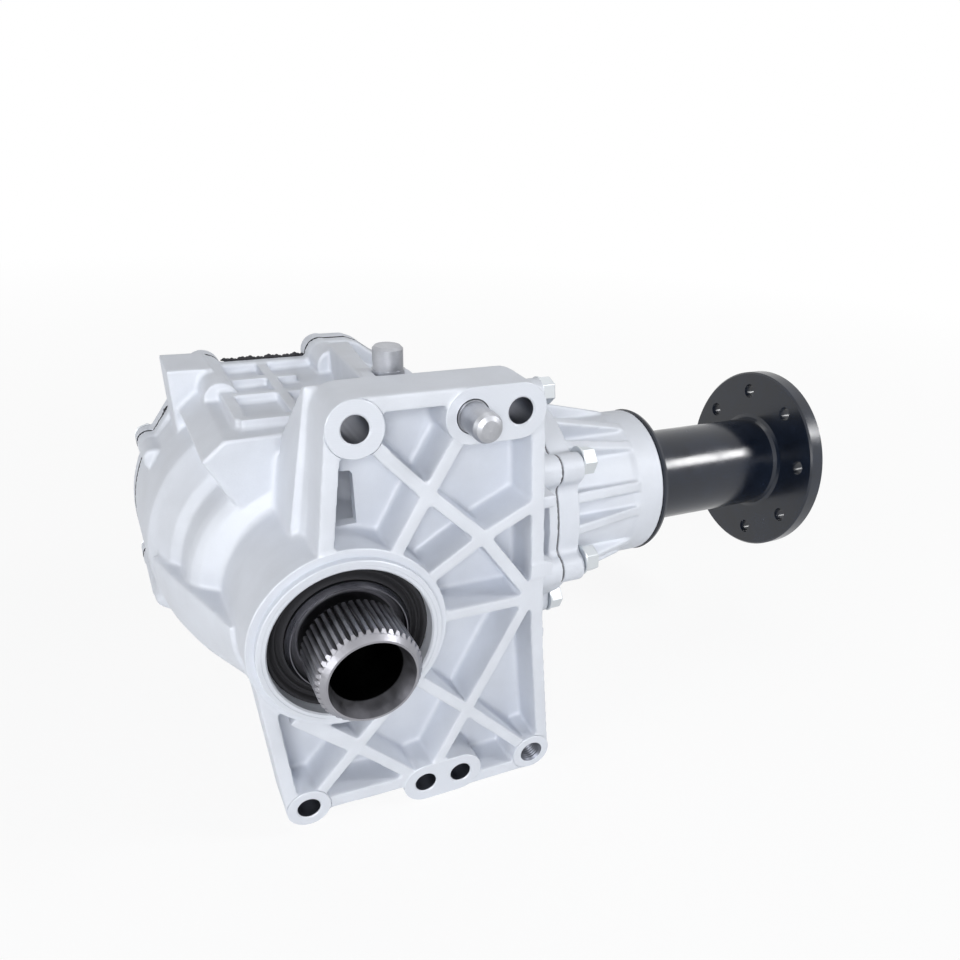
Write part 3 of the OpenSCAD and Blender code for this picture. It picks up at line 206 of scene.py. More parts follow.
class FinishProps(bpy.types.PropertyGroup):
    """Colours of the machined, coated and rubber pieces"""

    steel: bpy.props.FloatVectorProperty(
        name="Gear steel", description="Colour of the shaft and the gears",
        default=(0.33, 0.33, 0.36), size=3, min=0, max=1, subtype="COLOR")
    sleeve: bpy.props.FloatVectorProperty(
        name="Sleeve steel", description="Colour of the seal sleeve and the shim",
        default=(0.16, 0.16, 0.18), size=3, min=0, max=1, subtype="COLOR")
    ground: bpy.props.FloatVectorProperty(
        name="Ground steel", description="Colour of the pins",
        default=(0.42, 0.43, 0.46), size=3, min=0, max=1, subtype="COLOR")
    bearing: bpy.props.FloatVectorProperty(
        name="Bearing steel", description="Colour of the bearings",
        default=(0.6, 0.61, 0.62), size=3, min=0, max=1, subtype="COLOR")
    zinc: bpy.props.FloatVectorProperty(
        name="Zinc", description="Colour of the screws and the nut",
        default=(0.34, 0.36, 0.40), size=3, min=0, max=1, subtype="COLOR")
    enamel: bpy.props.FloatVectorProperty(
        name="Black coat", description="Colour of the output flange's coat",
        default=(0.004, 0.008, 0.018), size=3, min=0, max=1, subtype="COLOR")
    rubber: bpy.props.FloatVectorProperty(
        name="Rubber", description="Colour of the seals",
        default=(0.003, 0.005, 0.010), size=3, min=0, max=1, subtype="COLOR")


class StageProps(bpy.types.PropertyGroup):
    """Light and floor"""

    floor: bpy.props.FloatVectorProperty(
        name="Floor", description="Colour of the floor",
        default=(0.82, 0.83, 0.84), size=3, min=0, max=1, subtype="COLOR")
    key: bpy.props.FloatProperty(
        name="Key light", description="Power of the large soft light",
        default=10.0, min=0, soft_max=60, unit="POWER")
    sky: bpy.props.FloatProperty(
        name="Room light", description="Strength of the even light of the room",
        default=0.16, min=0, soft_max=2)


# Node helpers


def add_node(tree, kind, place=(0, 0), **values):
    """A new node; each value goes to the input of its name, or else to the node's setting."""
    node = tree.nodes.new(kind)
    node.location = place
    for key, value in values.items():
        if key in node.inputs:
            node.inputs[key].default_value = value
        else:
            setattr(node, key, value)
    return node


def link(tree, *pairs):
    """Links pairs of an output and an input."""
    for source, target in pairs:
        tree.links.new(source, target)


def socket(group, name, kind, out=False, value=None):
    """Adds an input or an output to a node group."""
    made = group.interface.new_socket(name=name, in_out="OUTPUT" if out else "INPUT",
                                      socket_type="NodeSocket" + kind)
    if value is not None:
        made.default_value = value


def grain_group():
    """Node group: fine grain, cloudy tone and their height, from a vector."""
    group = bpy.data.node_groups.new("Grain", "ShaderNodeTree")
    socket(group, "Vector", "Vector")
    socket(group, "Grain Scale", "Float", value=2500.0)
    socket(group, "Cloud Scale", "Float", value=60.0)
    socket(group, "Low", "Float", value=0.9)
    socket(group, "High", "Float", value=1.0)
    socket(group, "Tone", "Float", out=True)
    socket(group, "Cloud", "Float", out=True)
    socket(group, "Height", "Float", out=True)
    given = add_node(group, "NodeGroupInput", (-700, 0)).outputs
    result = add_node(group, "NodeGroupOutput", (500, 0)).inputs
    fine = add_node(group, "ShaderNodeTexNoise", (-450, 200), Detail=3.0, Roughness=0.6)
    cloud = add_node(group, "ShaderNodeTexNoise", (-450, -100), Detail=5.0, Roughness=0.55)
    both = add_node(group, "ShaderNodeMath", (-200, 0), operation="MULTIPLY_ADD")
    # A quarter of the fine grain goes on top of the clouds
    both.inputs[1].default_value = 0.25
    span = add_node(group, "ShaderNodeMapRange", (50, 0), **{"From Min": 0.35, "From Max": 0.9})
    link(group, (given["Vector"], fine.inputs["Vector"]),
         (given["Vector"], cloud.inputs["Vector"]),
         (given["Grain Scale"], fine.inputs["Scale"]),
         (given["Cloud Scale"], cloud.inputs["Scale"]),
         (fine.outputs["Fac"], both.inputs[0]), (cloud.outputs["Fac"], both.inputs[2]),
         (both.outputs[0], span.inputs["Value"]),
         (given["Low"], span.inputs["To Min"]), (given["High"], span.inputs["To Max"]),
         (span.outputs[0], result["Tone"]), (cloud.outputs["Fac"], result["Cloud"]),
         (fine.outputs["Fac"], result["Height"]))


def turned_group():
    """Node group: the fine rings that turning leaves round an axis, and the radius."""
    group = bpy.data.node_groups.new("Turned rings", "ShaderNodeTree")
    socket(group, "Vector", "Vector")
    socket(group, "Centre", "Vector")
    socket(group, "Axis Mask", "Vector", value=(1.0, 0.0, 1.0))
    socket(group, "Pitch", "Float", value=0.0004)
    socket(group, "Rings", "Float", out=True)
    socket(group, "Radius", "Float", out=True)
    given = add_node(group, "NodeGroupInput", (-800, 0)).outputs
    result = add_node(group, "NodeGroupOutput", (500, 0)).inputs
    off = add_node(group, "ShaderNodeVectorMath", (-600, 0), operation="SUBTRACT")
    flat = add_node(group, "ShaderNodeVectorMath", (-420, 0), operation="MULTIPLY")
    radius = add_node(group, "ShaderNodeVectorMath", (-240, 0), operation="LENGTH")
    turns = add_node(group, "ShaderNodeMath", (-60, 0), operation="DIVIDE")
    noise = add_node(group, "ShaderNodeTexNoise", (120, 0), noise_dimensions="1D", Scale=1.0,
                     Detail=2.0)
    link(group, (given["Vector"], off.inputs[0]), (given["Centre"], off.inputs[1]),
         (off.outputs[0], flat.inputs[0]), (given["Axis Mask"], flat.inputs[1]),
         (flat.outputs[0], radius.inputs[0]), (radius.outputs["Value"], turns.inputs[0]),
         (given["Pitch"], turns.inputs[1]), (turns.outputs[0], noise.inputs["W"]),
         (noise.outputs["Fac"], result["Rings"]), (radius.outputs["Value"], result["Radius"]))


def principled(name):
    """A new material, its node tree, its shader, and the place on the object as a vector."""
    mat = bpy.data.materials.new(name)
    mat.use_nodes = True
    tree = mat.node_tree
    shader = tree.nodes["Principled BSDF"]
    coords = add_node(tree, "ShaderNodeTexCoord", (-1400, 0))
    return mat, tree, shader, coords.outputs["Object"]


def grain(tree, vector, grain_scale, cloud_scale, low, high):
    """The grain group with its own values. Its tone runs from low to high."""
    node = add_node(tree, "ShaderNodeGroup", (-1100, 0), node_tree=bpy.data.node_groups["Grain"],
                    **{"Grain Scale": grain_scale, "Cloud Scale": cloud_scale, "Low": low,
                       "High": high})
    link(tree, (vector, node.inputs["Vector"]))
    return node


def rings(tree, vector, centre, mask, pitch):
    """The turned rings with their own axis and pitch in metres."""
    node = add_node(tree, "ShaderNodeGroup", (-1100, -300),
                    node_tree=bpy.data.node_groups["Turned rings"],
                    **{"Centre": centre, "Axis Mask": mask, "Pitch": pitch})
    link(tree, (vector, node.inputs["Vector"]))
    return node


def tinted(tree, colour, factor):
    """Colour multiplied by a factor socket."""
    node = add_node(tree, "ShaderNodeVectorMath", (-700, 250), operation="SCALE")
    node.inputs[0].default_value = colour
    link(tree, (factor, node.inputs["Scale"]))
    return node.outputs[0]


def bumped(tree, height, strength, distance):
    """The normal that a height socket gives."""
    node = add_node(tree, "ShaderNodeBump", (-300, -350), Strength=strength, Distance=distance)
    link(tree, (height, node.inputs["Height"]))
    return node.outputs["Normal"]


def spread(tree, value, low, high, start=0.3, end=0.7):
    """A socket's value, with start to end stretched to low to high."""
    node = add_node(tree, "ShaderNodeMapRange", (-600, -100),
                    **{"From Min": start, "From Max": end, "To Min": low, "To Max": high})
    link(tree, (value, node.inputs["Value"]))
    return node.outputs[0]


def cast_material(name, colour, machined, front):
    """Shot-blasted aluminium. Where front is true, the faces at the mounting plane are milled."""
    mat, tree, shader, vector = principled(name)
    g = grain(tree, vector, grain_scale=1900.0, cloud_scale=45.0, low=0.9, high=1.03)
    skin = tinted(tree, colour, g.outputs["Tone"])
    rough = spread(tree, g.outputs["Cloud"], low=0.5, high=0.6)
    normal = bumped(tree, g.outputs["Height"], strength=0.45, distance=0.0002)
    shader.inputs["Metallic"].default_value = 0.15
    if front:
        axes = add_node(tree, "ShaderNodeSeparateXYZ", (-1200, 500))
        # All that lies less than 0.3 mm behind the mounting face is milled
        mask = add_node(tree, "ShaderNodeMath", (-1000, 500), operation="LESS_THAN")
        mask.inputs[1].default_value = 0.0003
        marks = rings(tree, vector, ORIGIN, (1, 0, 1), pitch=0.00035)
        pale = tinted(tree, machined, spread(tree, marks.outputs["Rings"], low=0.985, high=1.01))
        mix = add_node(tree, "ShaderNodeMix", (-450, 400), data_type="RGBA")
        mixed = add_node(tree, "ShaderNodeMix", (-450, 100), data_type="FLOAT")
        # Roughness of the milled faces
        mixed.inputs[3].default_value = 0.4
        link(tree, (vector, axes.inputs[0]), (axes.outputs["Y"], mask.inputs[0]),
             (mask.outputs[0], mix.inputs[0]), (skin, mix.inputs[6]), (pale, mix.inputs[7]),
             (mask.outputs[0], mixed.inputs[0]), (rough, mixed.inputs[2]))
        skin = mix.outputs[2]
        rough = mixed.outputs[0]
    link(tree, (skin, shader.inputs["Base Color"]), (rough, shader.inputs["Roughness"]),
         (normal, shader.inputs["Normal"]))
    return mat


def steel_material(name, colour, roughness, axis, pitch, bump):
    """Turned or ground steel with rings round its axis and a cloudy oil film."""
    mat, tree, shader, vector = principled(name)
    g = grain(tree, vector, grain_scale=900.0, cloud_scale=90.0, low=0.8, high=1.12)
    marks = rings(tree, vector, *axis, pitch)
    both = add_node(tree, "ShaderNodeMath", (-800, 100), operation="MULTIPLY_ADD")
    both.inputs[1].default_value = 0.5
    link(tree, (marks.outputs["Rings"], both.inputs[0]), (g.outputs["Cloud"], both.inputs[2]))
    shader.inputs["Metallic"].default_value = 1.0
    base = tinted(tree, colour, g.outputs["Tone"])
    rough = spread(tree, both.outputs[0], low=roughness - 0.06, high=roughness + 0.1,
                   start=0.5, end=1.0)
    normal = bumped(tree, marks.outputs["Rings"], strength=bump, distance=0.00005)
    link(tree, (base, shader.inputs["Base Color"]), (rough, shader.inputs["Roughness"]),
         (normal, shader.inputs["Normal"]))
    return mat


def shaft_material(name, colour):
    """Dark steel of the shaft, with painted shade: the spline grooves and the deep hole are
    darkened, while the crests and the lead-in cone keep the full colour.
    """
    mat, tree, shader, vector = principled(name)
    g = grain(tree, vector, grain_scale=1400.0, cloud_scale=110.0, low=0.85, high=1.1)
    marks = rings(tree, vector, ORIGIN, (1, 0, 1), pitch=0.0006)
    axes = add_node(tree, "ShaderNodeSeparateXYZ", (-1200, 500))
    # The outer radius: it grows along the cone at the front, from 30 to 26 mm before the plate
    outer = spread(tree, axes.outputs["Y"], low=0.0193, high=0.0224, start=-0.030, end=-0.026)
    below = add_node(tree, "ShaderNodeMath", (-900, 700), operation="SUBTRACT")
    # Painted shade in the spline grooves: faces under the outer radius are darkened to a tenth
    painted_groove_shade = spread(tree, below.outputs[0], low=0.1, high=1.0, start=-0.0010, end=-0.0002)
    # Painted shade in the shaft's deep hole: past the lead-in cone the colour drops to four
    # hundredths
    painted_shaft_hole_shade = spread(tree, axes.outputs["Y"], low=1.0, high=0.04, start=-0.0216, end=-0.0208)
    inside = add_node(tree, "ShaderNodeMath", (-900, 500), operation="LESS_THAN")
    # Radius within which a face belongs to the lead-in cone or the deep hole of the shaft
    inside.inputs[1].default_value = 0.019
    pick = add_node(tree, "ShaderNodeMix", (-700, 500), data_type="FLOAT")
    tone = add_node(tree, "ShaderNodeMath", (-600, 400), operation="MULTIPLY")
    link(tree, (vector, axes.inputs[0]), (marks.outputs["Radius"], inside.inputs[0]),
         (marks.outputs["Radius"], below.inputs[0]), (outer, below.inputs[1]),
         (inside.outputs[0], pick.inputs[0]), (painted_groove_shade, pick.inputs[2]), (painted_shaft_hole_shade, pick.inputs[3]),
         (pick.outputs[0], tone.inputs[0]), (g.outputs["Tone"], tone.inputs[1]))
    shader.inputs["Metallic"].default_value = 1.0
    base = tinted(tree, colour, tone.outputs[0])
    rough = spread(tree, g.outputs["Cloud"], low=0.3, high=0.46)
    normal = bumped(tree, g.outputs["Height"], strength=0.2, distance=0.00006)
    link(tree, (base, shader.inputs["Base Color"]), (rough, shader.inputs["Roughness"]),
         (normal, shader.inputs["Normal"]))
    return mat


def coat_material(name, colour, roughness, specular, grain_scale):
    """Black coat or rubber: a dull film over an even colour."""
    mat, tree, shader, vector = principled(name)
    g = grain(tree, vector, grain_scale, cloud_scale=70.0, low=0.7, high=1.6)
    shader.inputs["Specular IOR Level"].default_value = specular
    base = tinted(tree, colour, g.outputs["Tone"])
    rough = spread(tree, g.outputs["Cloud"], low=roughness - 0.05, high=roughness + 0.08)
    normal = bumped(tree, g.outputs["Height"], strength=0.15, distance=0.00006)
    link(tree, (base, shader.inputs["Base Color"]), (rough, shader.inputs["Roughness"]),
         (normal, shader.inputs["Normal"]))
    return mat


def give(obj, mat):
    """Makes a material the only one of an object."""
    obj.data.materials.clear()
    obj.data.materials.append(mat)


# Mesh helpers


def piece_from(name, bm):
    """Turns a bmesh into an object at the origin."""
    me = bpy.data.meshes.new(name)
    bm.to_mesh(me)
    bm.free()
    obj = bpy.data.objects.new(name, me)
    bpy.context.scene.collection.objects.link(obj)
    return obj


def new_piece(name, bm):
    """Makes a piece from a bmesh: doubles merged, faces pointing outwards."""
    bmesh.ops.remove_doubles(bm, verts=bm.verts, dist=1e-7)
    bmesh.ops.recalc_face_normals(bm, faces=bm.faces)
    return piece_from(name, bm)


def solid_copy(node, name):
    """The CAD node's mesh with its loose triangles merged, as a new piece."""
    bm = bmesh.new()
    bm.from_mesh(frame["nodes"][node].data)
    bmesh.ops.remove_doubles(bm, verts=bm.verts, dist=1e-6)
    return piece_from(name, bm)


def applied(obj):
    """Bakes the modifiers of a piece into its mesh."""
    graph = bpy.context.evaluated_depsgraph_get()
    me = bpy.data.meshes.new_from_object(obj.evaluated_get(graph))
    obj.modifiers.clear()
    old = obj.data
    obj.data = me
    bpy.data.meshes.remove(old)


def vertex_places(me):
    """The places of a mesh's vertices, one row each."""
    co = np.empty(len(me.vertices) * 3, np.float32)
    me.vertices.foreach_get("co", co)
    return co.reshape(-1, 3)


def onto(centre, axis):
    """The matrix that turns Z onto an axis and goes to a place in millimetres."""
    turn = Vector(ALONG_Z).rotation_difference(Vector(axis)).to_matrix().to_4x4()
    return Matrix.Translation(Vector(centre) / 1000) @ turn


def turned(bm, profile, centre, axis, steps):
    """Spins a closed profile of (radius, height) pairs, in millimetres, round an axis."""
    before = set(bm.verts)
    verts = [bm.verts.new((r / 1000, 0, h / 1000)) for r, h in profile]
    edges = [bm.edges.new((verts[i], verts[(i + 1) % len(verts)])) for i in range(len(verts))]
    bmesh.ops.spin(bm, geom=verts + edges, cent=ORIGIN, axis=ALONG_Z, angle=2 * math.pi,
                   steps=steps, use_merge=True, use_duplicate=False)
    made = [v for v in bm.verts if v not in before]
    bmesh.ops.remove_doubles(bm, verts=made, dist=1e-7)
    made = [v for v in bm.verts if v not in before]
    bmesh.ops.transform(bm, matrix=onto(centre, axis), verts=made)


def turned_at(bm, profile, place, steps=64):
    """Spins a profile round a line along Y, with place its (x, z)."""
    turned(bm, profile, (place[0], 0, place[1]), ALONG_Y, steps)


def rod(bm, radius, place, start, end, steps=48):
    """A cylinder along Y, in millimetres, with place its (x, z)."""
    turned_at(bm, ((0, start), (radius, start), (radius, end), (0, end)), place, steps)


def hull(bm, points):
    """The convex solid round some points, in millimetres."""
    verts = [bm.verts.new(Vector(p) / 1000) for p in points]
    made = bmesh.ops.convex_hull(bm, input=verts)
    spare = {v for v in made["geom_interior"] + made["geom_unused"]
             if isinstance(v, bmesh.types.BMVert)}
    bmesh.ops.delete(bm, geom=list(spare), context="VERTS")


def boss(bm, places, radius, proud=0.02, chamfer=0.3, depth=6, corners=72):
    """A machined boss round one or two places (x, z): a crisp disc or a rounded bar."""
    points = []
    for x, z in places:
        for r, y in ((radius - chamfer, -proud), (radius, chamfer), (radius, depth)):
            for corner in range(corners):
                a = math.radians(360 / corners * corner)
                points.append((x + r * math.cos(a), y, z + r * math.sin(a)))
    hull(bm, points)


def joined(obj, bm):
    """Adds a bmesh to a piece's mesh, as closed shells that may overlap it."""
    bmesh.ops.recalc_face_normals(bm, faces=bm.faces)
    bm.from_mesh(obj.data)
    bm.to_mesh(obj.data)
    bm.free()


def cut(obj, bm, operation="DIFFERENCE"):
    """Cuts a bmesh out of a piece, or adds it, as one clean solid."""
    tool = new_piece(obj.name + "_tool", bm)
    mod = obj.modifiers.new("Cut", "BOOLEAN")
    mod.operation = operation
    mod.solver = "MANIFOLD"
    mod.object = tool
    applied(obj)
    bpy.data.objects.remove(tool)


def rounded(obj, grid, triangles, regions):
    """Rounds a solid: on a fine grid, smoothed by region, then thinned."""
    mod = obj.modifiers.new("Grid", "REMESH")
    mod.mode = "VOXEL"
    mod.voxel_size = grid
    mod.adaptivity = 0
    applied(obj)
    co = vertex_places(obj.data) * 1000
    for label, mask, rounds in regions(co):
        group = obj.vertex_groups.new(name=label)
        group.add(np.nonzero(mask)[0].tolist(), 1.0, "REPLACE")
        mod = obj.modifiers.new(label, "SMOOTH")
        mod.vertex_group = label
        mod.factor = 0.5
        mod.iterations = rounds
    applied(obj)
    obj.vertex_groups.clear()
    # The grid is made of quads, of two triangles each
    count = 2 * len(obj.data.polygons)
    if count > triangles:
        mod = obj.modifiers.new("Thin", "DECIMATE")
        mod.ratio = triangles / count
        applied(obj)


def creased(obj, degrees):
    """Shades a piece smooth, but for the edges that are sharper than an angle."""
    obj.data.shade_smooth()
    obj.data.set_sharp_from_angle(angle=math.radians(degrees))


# The castings


def case_regions(co):
    """Where the main case is smoothed, and how often: not in its bores."""
    x, y, z = co.T
    r = np.hypot(x, z)
    about_pinion = np.hypot(y - PINION_DEPTH, z)
    in_tunnel = (about_pinion < 42.6) & (x > 38)
    outside = (r > np.interp(y, HOLLOW_Y, HOLLOW_R) + 1.8) & ~in_tunnel
    off_the_seats = (y > -1.5) & (y < 150.8) & (x < 126)
    skin = outside & off_the_seats
    in_pockets = (y > 5) & (y < 24.5) & (x > -44)
    on_bell = (y > 26) & (x < 46) & (z < 64)
    on_skirt = (y > 24) & (y < 112) & (x < -8) & (z < 4)
    yield "skin", skin, 3
    yield "pocket", skin & in_pockets, 12
    yield "bell", skin & on_bell, 9
    yield "skirt", skin & on_skirt, 110


def cover_regions(co):
    """Where the rear cover is smoothed, and how often."""
    x, y, z = co.T
    r = np.hypot(x, z)
    yield "skin", (y > 153.6) & (r > 40) & (y < 184.2), 5
    yield "dome", (y > 158) & (r > 40) & (y < 184) & (r < 66), 8


def housing_regions(co):
    """Where the pinion housing is smoothed, and how often."""
    x, y, z = co.T
    r = np.hypot(y - PINION_DEPTH, z)
    yield "skin", (x > 128.8) & (x < 204) & (r > 38), 4
    yield "gussets", (x > 141.4) & (x < 190) & (r > 38), 5


def case_stock(obj):
    """Closes the bores before the rounding, so that they can be drilled afterwards."""
    bm = bmesh.new()
    for place in (*HOLES, THREADED, DOWEL):
        rod(bm, radius=7.5, place=place, start=0.6, end=24.8)
    rod(bm, radius=38, place=(0, 0), start=1, end=34, steps=96)
    joined(obj, bm)


def before_the_plate():
    """A block whose back is the mounting face."""
    bm = bmesh.new()
    bmesh.ops.create_cube(bm, size=1.0)
    bmesh.ops.scale(bm, vec=(0.4, 0.02, 0.4), verts=bm.verts)
    bmesh.ops.translate(bm, vec=(0.03, -0.01, 0), verts=bm.verts)
    return bm


def machined_stock():
    """The pilot ring and the bosses, with their crisp edges."""
    bm = bmesh.new()
    turned(bm, PILOT_RING, ORIGIN, ALONG_Y, steps=180)
    for places, radius in BOSSES:
        boss(bm, places, radius)
    return bm


def thread_profile():
    """The threaded hole: a chamfer, then the thread, then the drill's point."""
    profile = [(0, -1), (6.2, -1), (6.2, 0), (THREAD_CORE, 1.2)]
    for turn in range(THREAD_TURNS):
        start = turn * THREAD_PITCH
        profile += [(THREAD_CORE, 1.5 + start), (THREAD_FOOT, 2.1 + start),
                    (THREAD_CORE, 2.7 + start)]
    return profile + [(THREAD_CORE, 21), (0, 23)]


def drill_shapes():
    """All that is turned, drilled or cut out of the case."""
    bm = bmesh.new()
    turned(bm, SEAL_AND_BEARING_BORE, ORIGIN, ALONG_Y, steps=180)
    for place in HOLES:
        turned_at(bm, FIXING_HOLE, place)
        turned_at(bm, BOLT_HEAD_ROOM, place)
    turned_at(bm, DOWEL_HOLE, DOWEL)
    for place, radius in SET_OFF_BOSSES:
        near, far = radius + 0.02, radius + 0.4
        turned_at(bm, ((near, 0.2), (far, 0.2), (far, 1.1), (near, 1.1)), place, steps=96)
    hull(bm, [(x, y, z) for x, z in WINDOW for y in WINDOW_DEPTHS])
    turned_at(bm, thread_profile(), THREADED, steps=48)
    return bm


def machined_case(obj):
    """Mills the bosses and the ring, turns the pilot and the bores, drills and taps."""
    cut(obj, before_the_plate())
    cut(obj, machined_stock(), "UNION")
    cut(obj, drill_shapes())


def bored(obj, mat):
    """Gives the walls of the drilled holes a dark material: painted shade inside the holes."""
    me = obj.data
    me.materials.append(mat)
    centre = np.empty(len(me.polygons) * 3, np.float32)
    me.polygons.foreach_get("center", centre)
    x, y, z = centre.reshape(-1, 3).T * 1000
    deep = (y > DRILLED_DEPTHS[0]) & (y < DRILLED_DEPTHS[1])
    index = np.zeros(len(x), np.int32)
    for place, radius in DRILLED:
        index[deep & (np.hypot(x - place[0], z - place[1]) < radius)] = 1
    me.polygons.foreach_set("material_index", index)


class CASE_OT_castings(bpy.types.Operator):
    """Cast and round the case, the rear cover and the pinion housing, and machine the case"""

    bl_idname = "transfer_case.castings"
    bl_label = "Castings"

    def execute(self, context):
        props = context.scene.casting_props
        grid = props.grid * 1
        triangles = props.triangles // 1
        front = cast_material("cast_front", props.colour, props.machined, True)
        plain = cast_material("cast_plain", props.colour, props.machined, False)
        for node, regions, mat in (("main_case", case_regions, front),
                                   ("rear_cover", cover_regions, plain),
                                   ("pinion_housing", housing_regions, plain)):
            obj = solid_copy(node, node + "_casting")
            if node == "main_case":
                case_stock(obj)
            rounded(obj, grid, triangles, regions)
            if node == "main_case":
                machined_case(obj)
            creased(obj, degrees=38)
            give(obj, mat)
            if node == "main_case":
                bored(obj, bpy.data.materials["painted_hole_shade"])
            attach(obj, "case")
            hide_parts(node)
        return {"FINISHED"}


# Seals, screws and shaft


def sealant_bead(name, start, end, radius):
    """An uneven bead of sealant along the joint, from one (x, z) to another."""
    curve = bpy.data.curves.new(name, "CURVE")
    curve.dimensions = "3D"
    curve.bevel_depth = radius / 1000
    curve.bevel_resolution = 4
    curve.use_fill_caps = True
    spline = curve.splines.new("POLY")
    spline.points.add(BEAD_POINTS - 1)
    for i, point in enumerate(spline.points):
        t = i / (BEAD_POINTS - 1)
        lump = sum(math.sin(turns * t + offset) * share for turns, offset, share in BEAD_WAVES)
        x = start[0] + (end[0] - start[0]) * t
        y = JOINT_DEPTH + BEAD_STRAY * math.sin(37 * t)
        z = start[1] + (end[1] - start[1]) * t + 0.35 * lump
        point.co = (x / 1000, y / 1000, z / 1000, 1)
        # The bead thins out over the last twelfth at both ends
        point.radius = (0.85 + 0.4 * lump) * min(1, 12 * t + 0.2, 12 * (1 - t) + 0.2)
    holder = bpy.data.objects.new(name, curve)
    me = bpy.data.meshes.new_from_object(holder)
    bpy.data.objects.remove(holder)
    bm = bmesh.new()
    bm.from_mesh(me)
    bpy.data.meshes.remove(me)
    obj = new_piece(name, bm)
    creased(obj, degrees=80)
    return obj


class CASE_OT_seals(bpy.types.Operator):
    """Model the lip seal round the shaft and the squeezed-out sealant of the joint"""

    bl_idname = "transfer_case.seals"
    bl_label = "Seals"

    def execute(self, context):
        rubber = bpy.data.materials["black_rubber"]
        bm = bmesh.new()
        turned(bm, SEAL_LIPS, ORIGIN, ALONG_Y, steps=160)
        seal = new_piece("input_seal_lips", bm)
        creased(seal, degrees=50)
        give(seal, rubber)
        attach(seal, "case")
        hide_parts("input_seal")
        for name, start, end, radius in BEADS:
            bead = sealant_bead(name, start, end, radius)
            give(bead, rubber)
            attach(bead, "case")
        return {"FINISHED"}


def hex_screw(bm, radius, flats, head, length):
    """A flanged hexagon screw along Z, in millimetres, its seat at zero."""
    before = set(bm.verts)
    corner = flats / math.sqrt(3)
    washer = 0.16 * head
    chamfer = 0.08 * flats / 1000
    softening = 0.0004
    made = bmesh.ops.create_circle(bm, cap_ends=True, segments=6, radius=corner / 1000,
                                   matrix=Matrix.Translation((0, 0, washer / 2000)))["verts"]
    face = next(f for f in made[0].link_faces)
    top = bmesh.ops.extrude_face_region(bm, geom=[face])["geom"]
    lid = [v for v in top if isinstance(v, bmesh.types.BMVert)]
    bmesh.ops.translate(bm, vec=(0, 0, (head - washer / 2) / 1000), verts=lid)
    walls = [e for e in bm.edges if (e.verts[0] in lid) != (e.verts[1] in lid)
             and e.verts[0] not in before]
    bmesh.ops.bevel(bm, geom=walls, offset=softening, offset_type="OFFSET", segments=2,
                    profile=0.5, affect="EDGES", material=-1)
    high = max(v.co.z for v in bm.verts if v not in before)
    rim = [e for e in bm.edges if e.verts[0] not in before
           and all(abs(v.co.z - high) < 1e-7 for v in e.verts)]
    bmesh.ops.bevel(bm, geom=rim, offset=chamfer, offset_type="OFFSET", segments=2,
                    profile=0.5, affect="EDGES", material=-1)
    flange = ((0, 0), (corner + 0.3, 0), (corner + 0.6, 0.3), (corner + 0.6, washer * 0.7),
              (corner + 0.1, washer), (0, washer))
    turned(bm, flange, ORIGIN, ALONG_Z, steps=48)
    shank = ((0, 0.2), (radius, 0.2), (radius, 0.5 - length), (radius - 0.6, -length),
             (0, -length))
    turned(bm, shank, ORIGIN, ALONG_Z, steps=24)
    return [v for v in bm.verts if v not in before]


def placed(bm, verts, centre, axis, spin):
    """Turns new vertices from Z onto an axis and moves them to a place in millimetres."""
    bmesh.ops.transform(bm, verts=verts, matrix=onto(centre, axis) @ Matrix.Rotation(spin, 4, "Z"))


class CASE_OT_screws(bpy.types.Operator):
    """Model the flanged hexagon screws and the two plugs"""

    bl_idname = "transfer_case.screws"
    bl_label = "Screws and plugs"

    def execute(self, context):
        bm = bmesh.new()
        for i, (x, z) in enumerate(COVER_SCREWS):
            place = (x, COVER_SEAT_DEPTH, z)
            placed(bm, hex_screw(bm, **COVER_SCREW), place, ALONG_Y, spin=0.4 * i)
        pieces = [(new_piece("cover_screws", bm), "cover_bolts")]
        bm = bmesh.new()
        for i in range(HOUSING_SCREWS):
            angle = math.radians(HOUSING_FIRST + i * 360 / HOUSING_SCREWS)
            place = (HOUSING_SEAT_X, PINION_DEPTH + HOUSING_CIRCLE * math.cos(angle),
                     HOUSING_CIRCLE * math.sin(angle))
            placed(bm, hex_screw(bm, **HOUSING_SCREW), place, ALONG_X, spin=0.3 + 0.55 * i)
        pieces.append((new_piece("housing_screws", bm), "pinion_housing_bolts"))
        for node, place, axis, spin in PLUGS:
            bm = bmesh.new()
            placed(bm, hex_screw(bm, **PLUG), place, axis, spin)
            pieces.append((new_piece(node + "_hex", bm), node))
        for obj, node in pieces:
            creased(obj, degrees=14)
            give(obj, bpy.data.materials["zinc_steel"])
            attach(obj, "case")
            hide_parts(node)
        return {"FINISHED"}


class CASE_OT_shaft(bpy.types.Operator):
    """Turn the recess behind the splines of the input shaft"""

    bl_idname = "transfer_case.shaft"
    bl_label = "Input shaft"

    def execute(self, context):
        obj = solid_copy("input_shaft", "input_shaft_turned")
        bm = bmesh.new()
        turned(bm, SHAFT_RECESS, ORIGIN, ALONG_Y, steps=132)
        cut(obj, bm)
        creased(obj, degrees=12)
        give(obj, bpy.data.materials["shaft_steel"])
        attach(obj, "input")
        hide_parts("input_shaft")
        return {"FINISHED"}


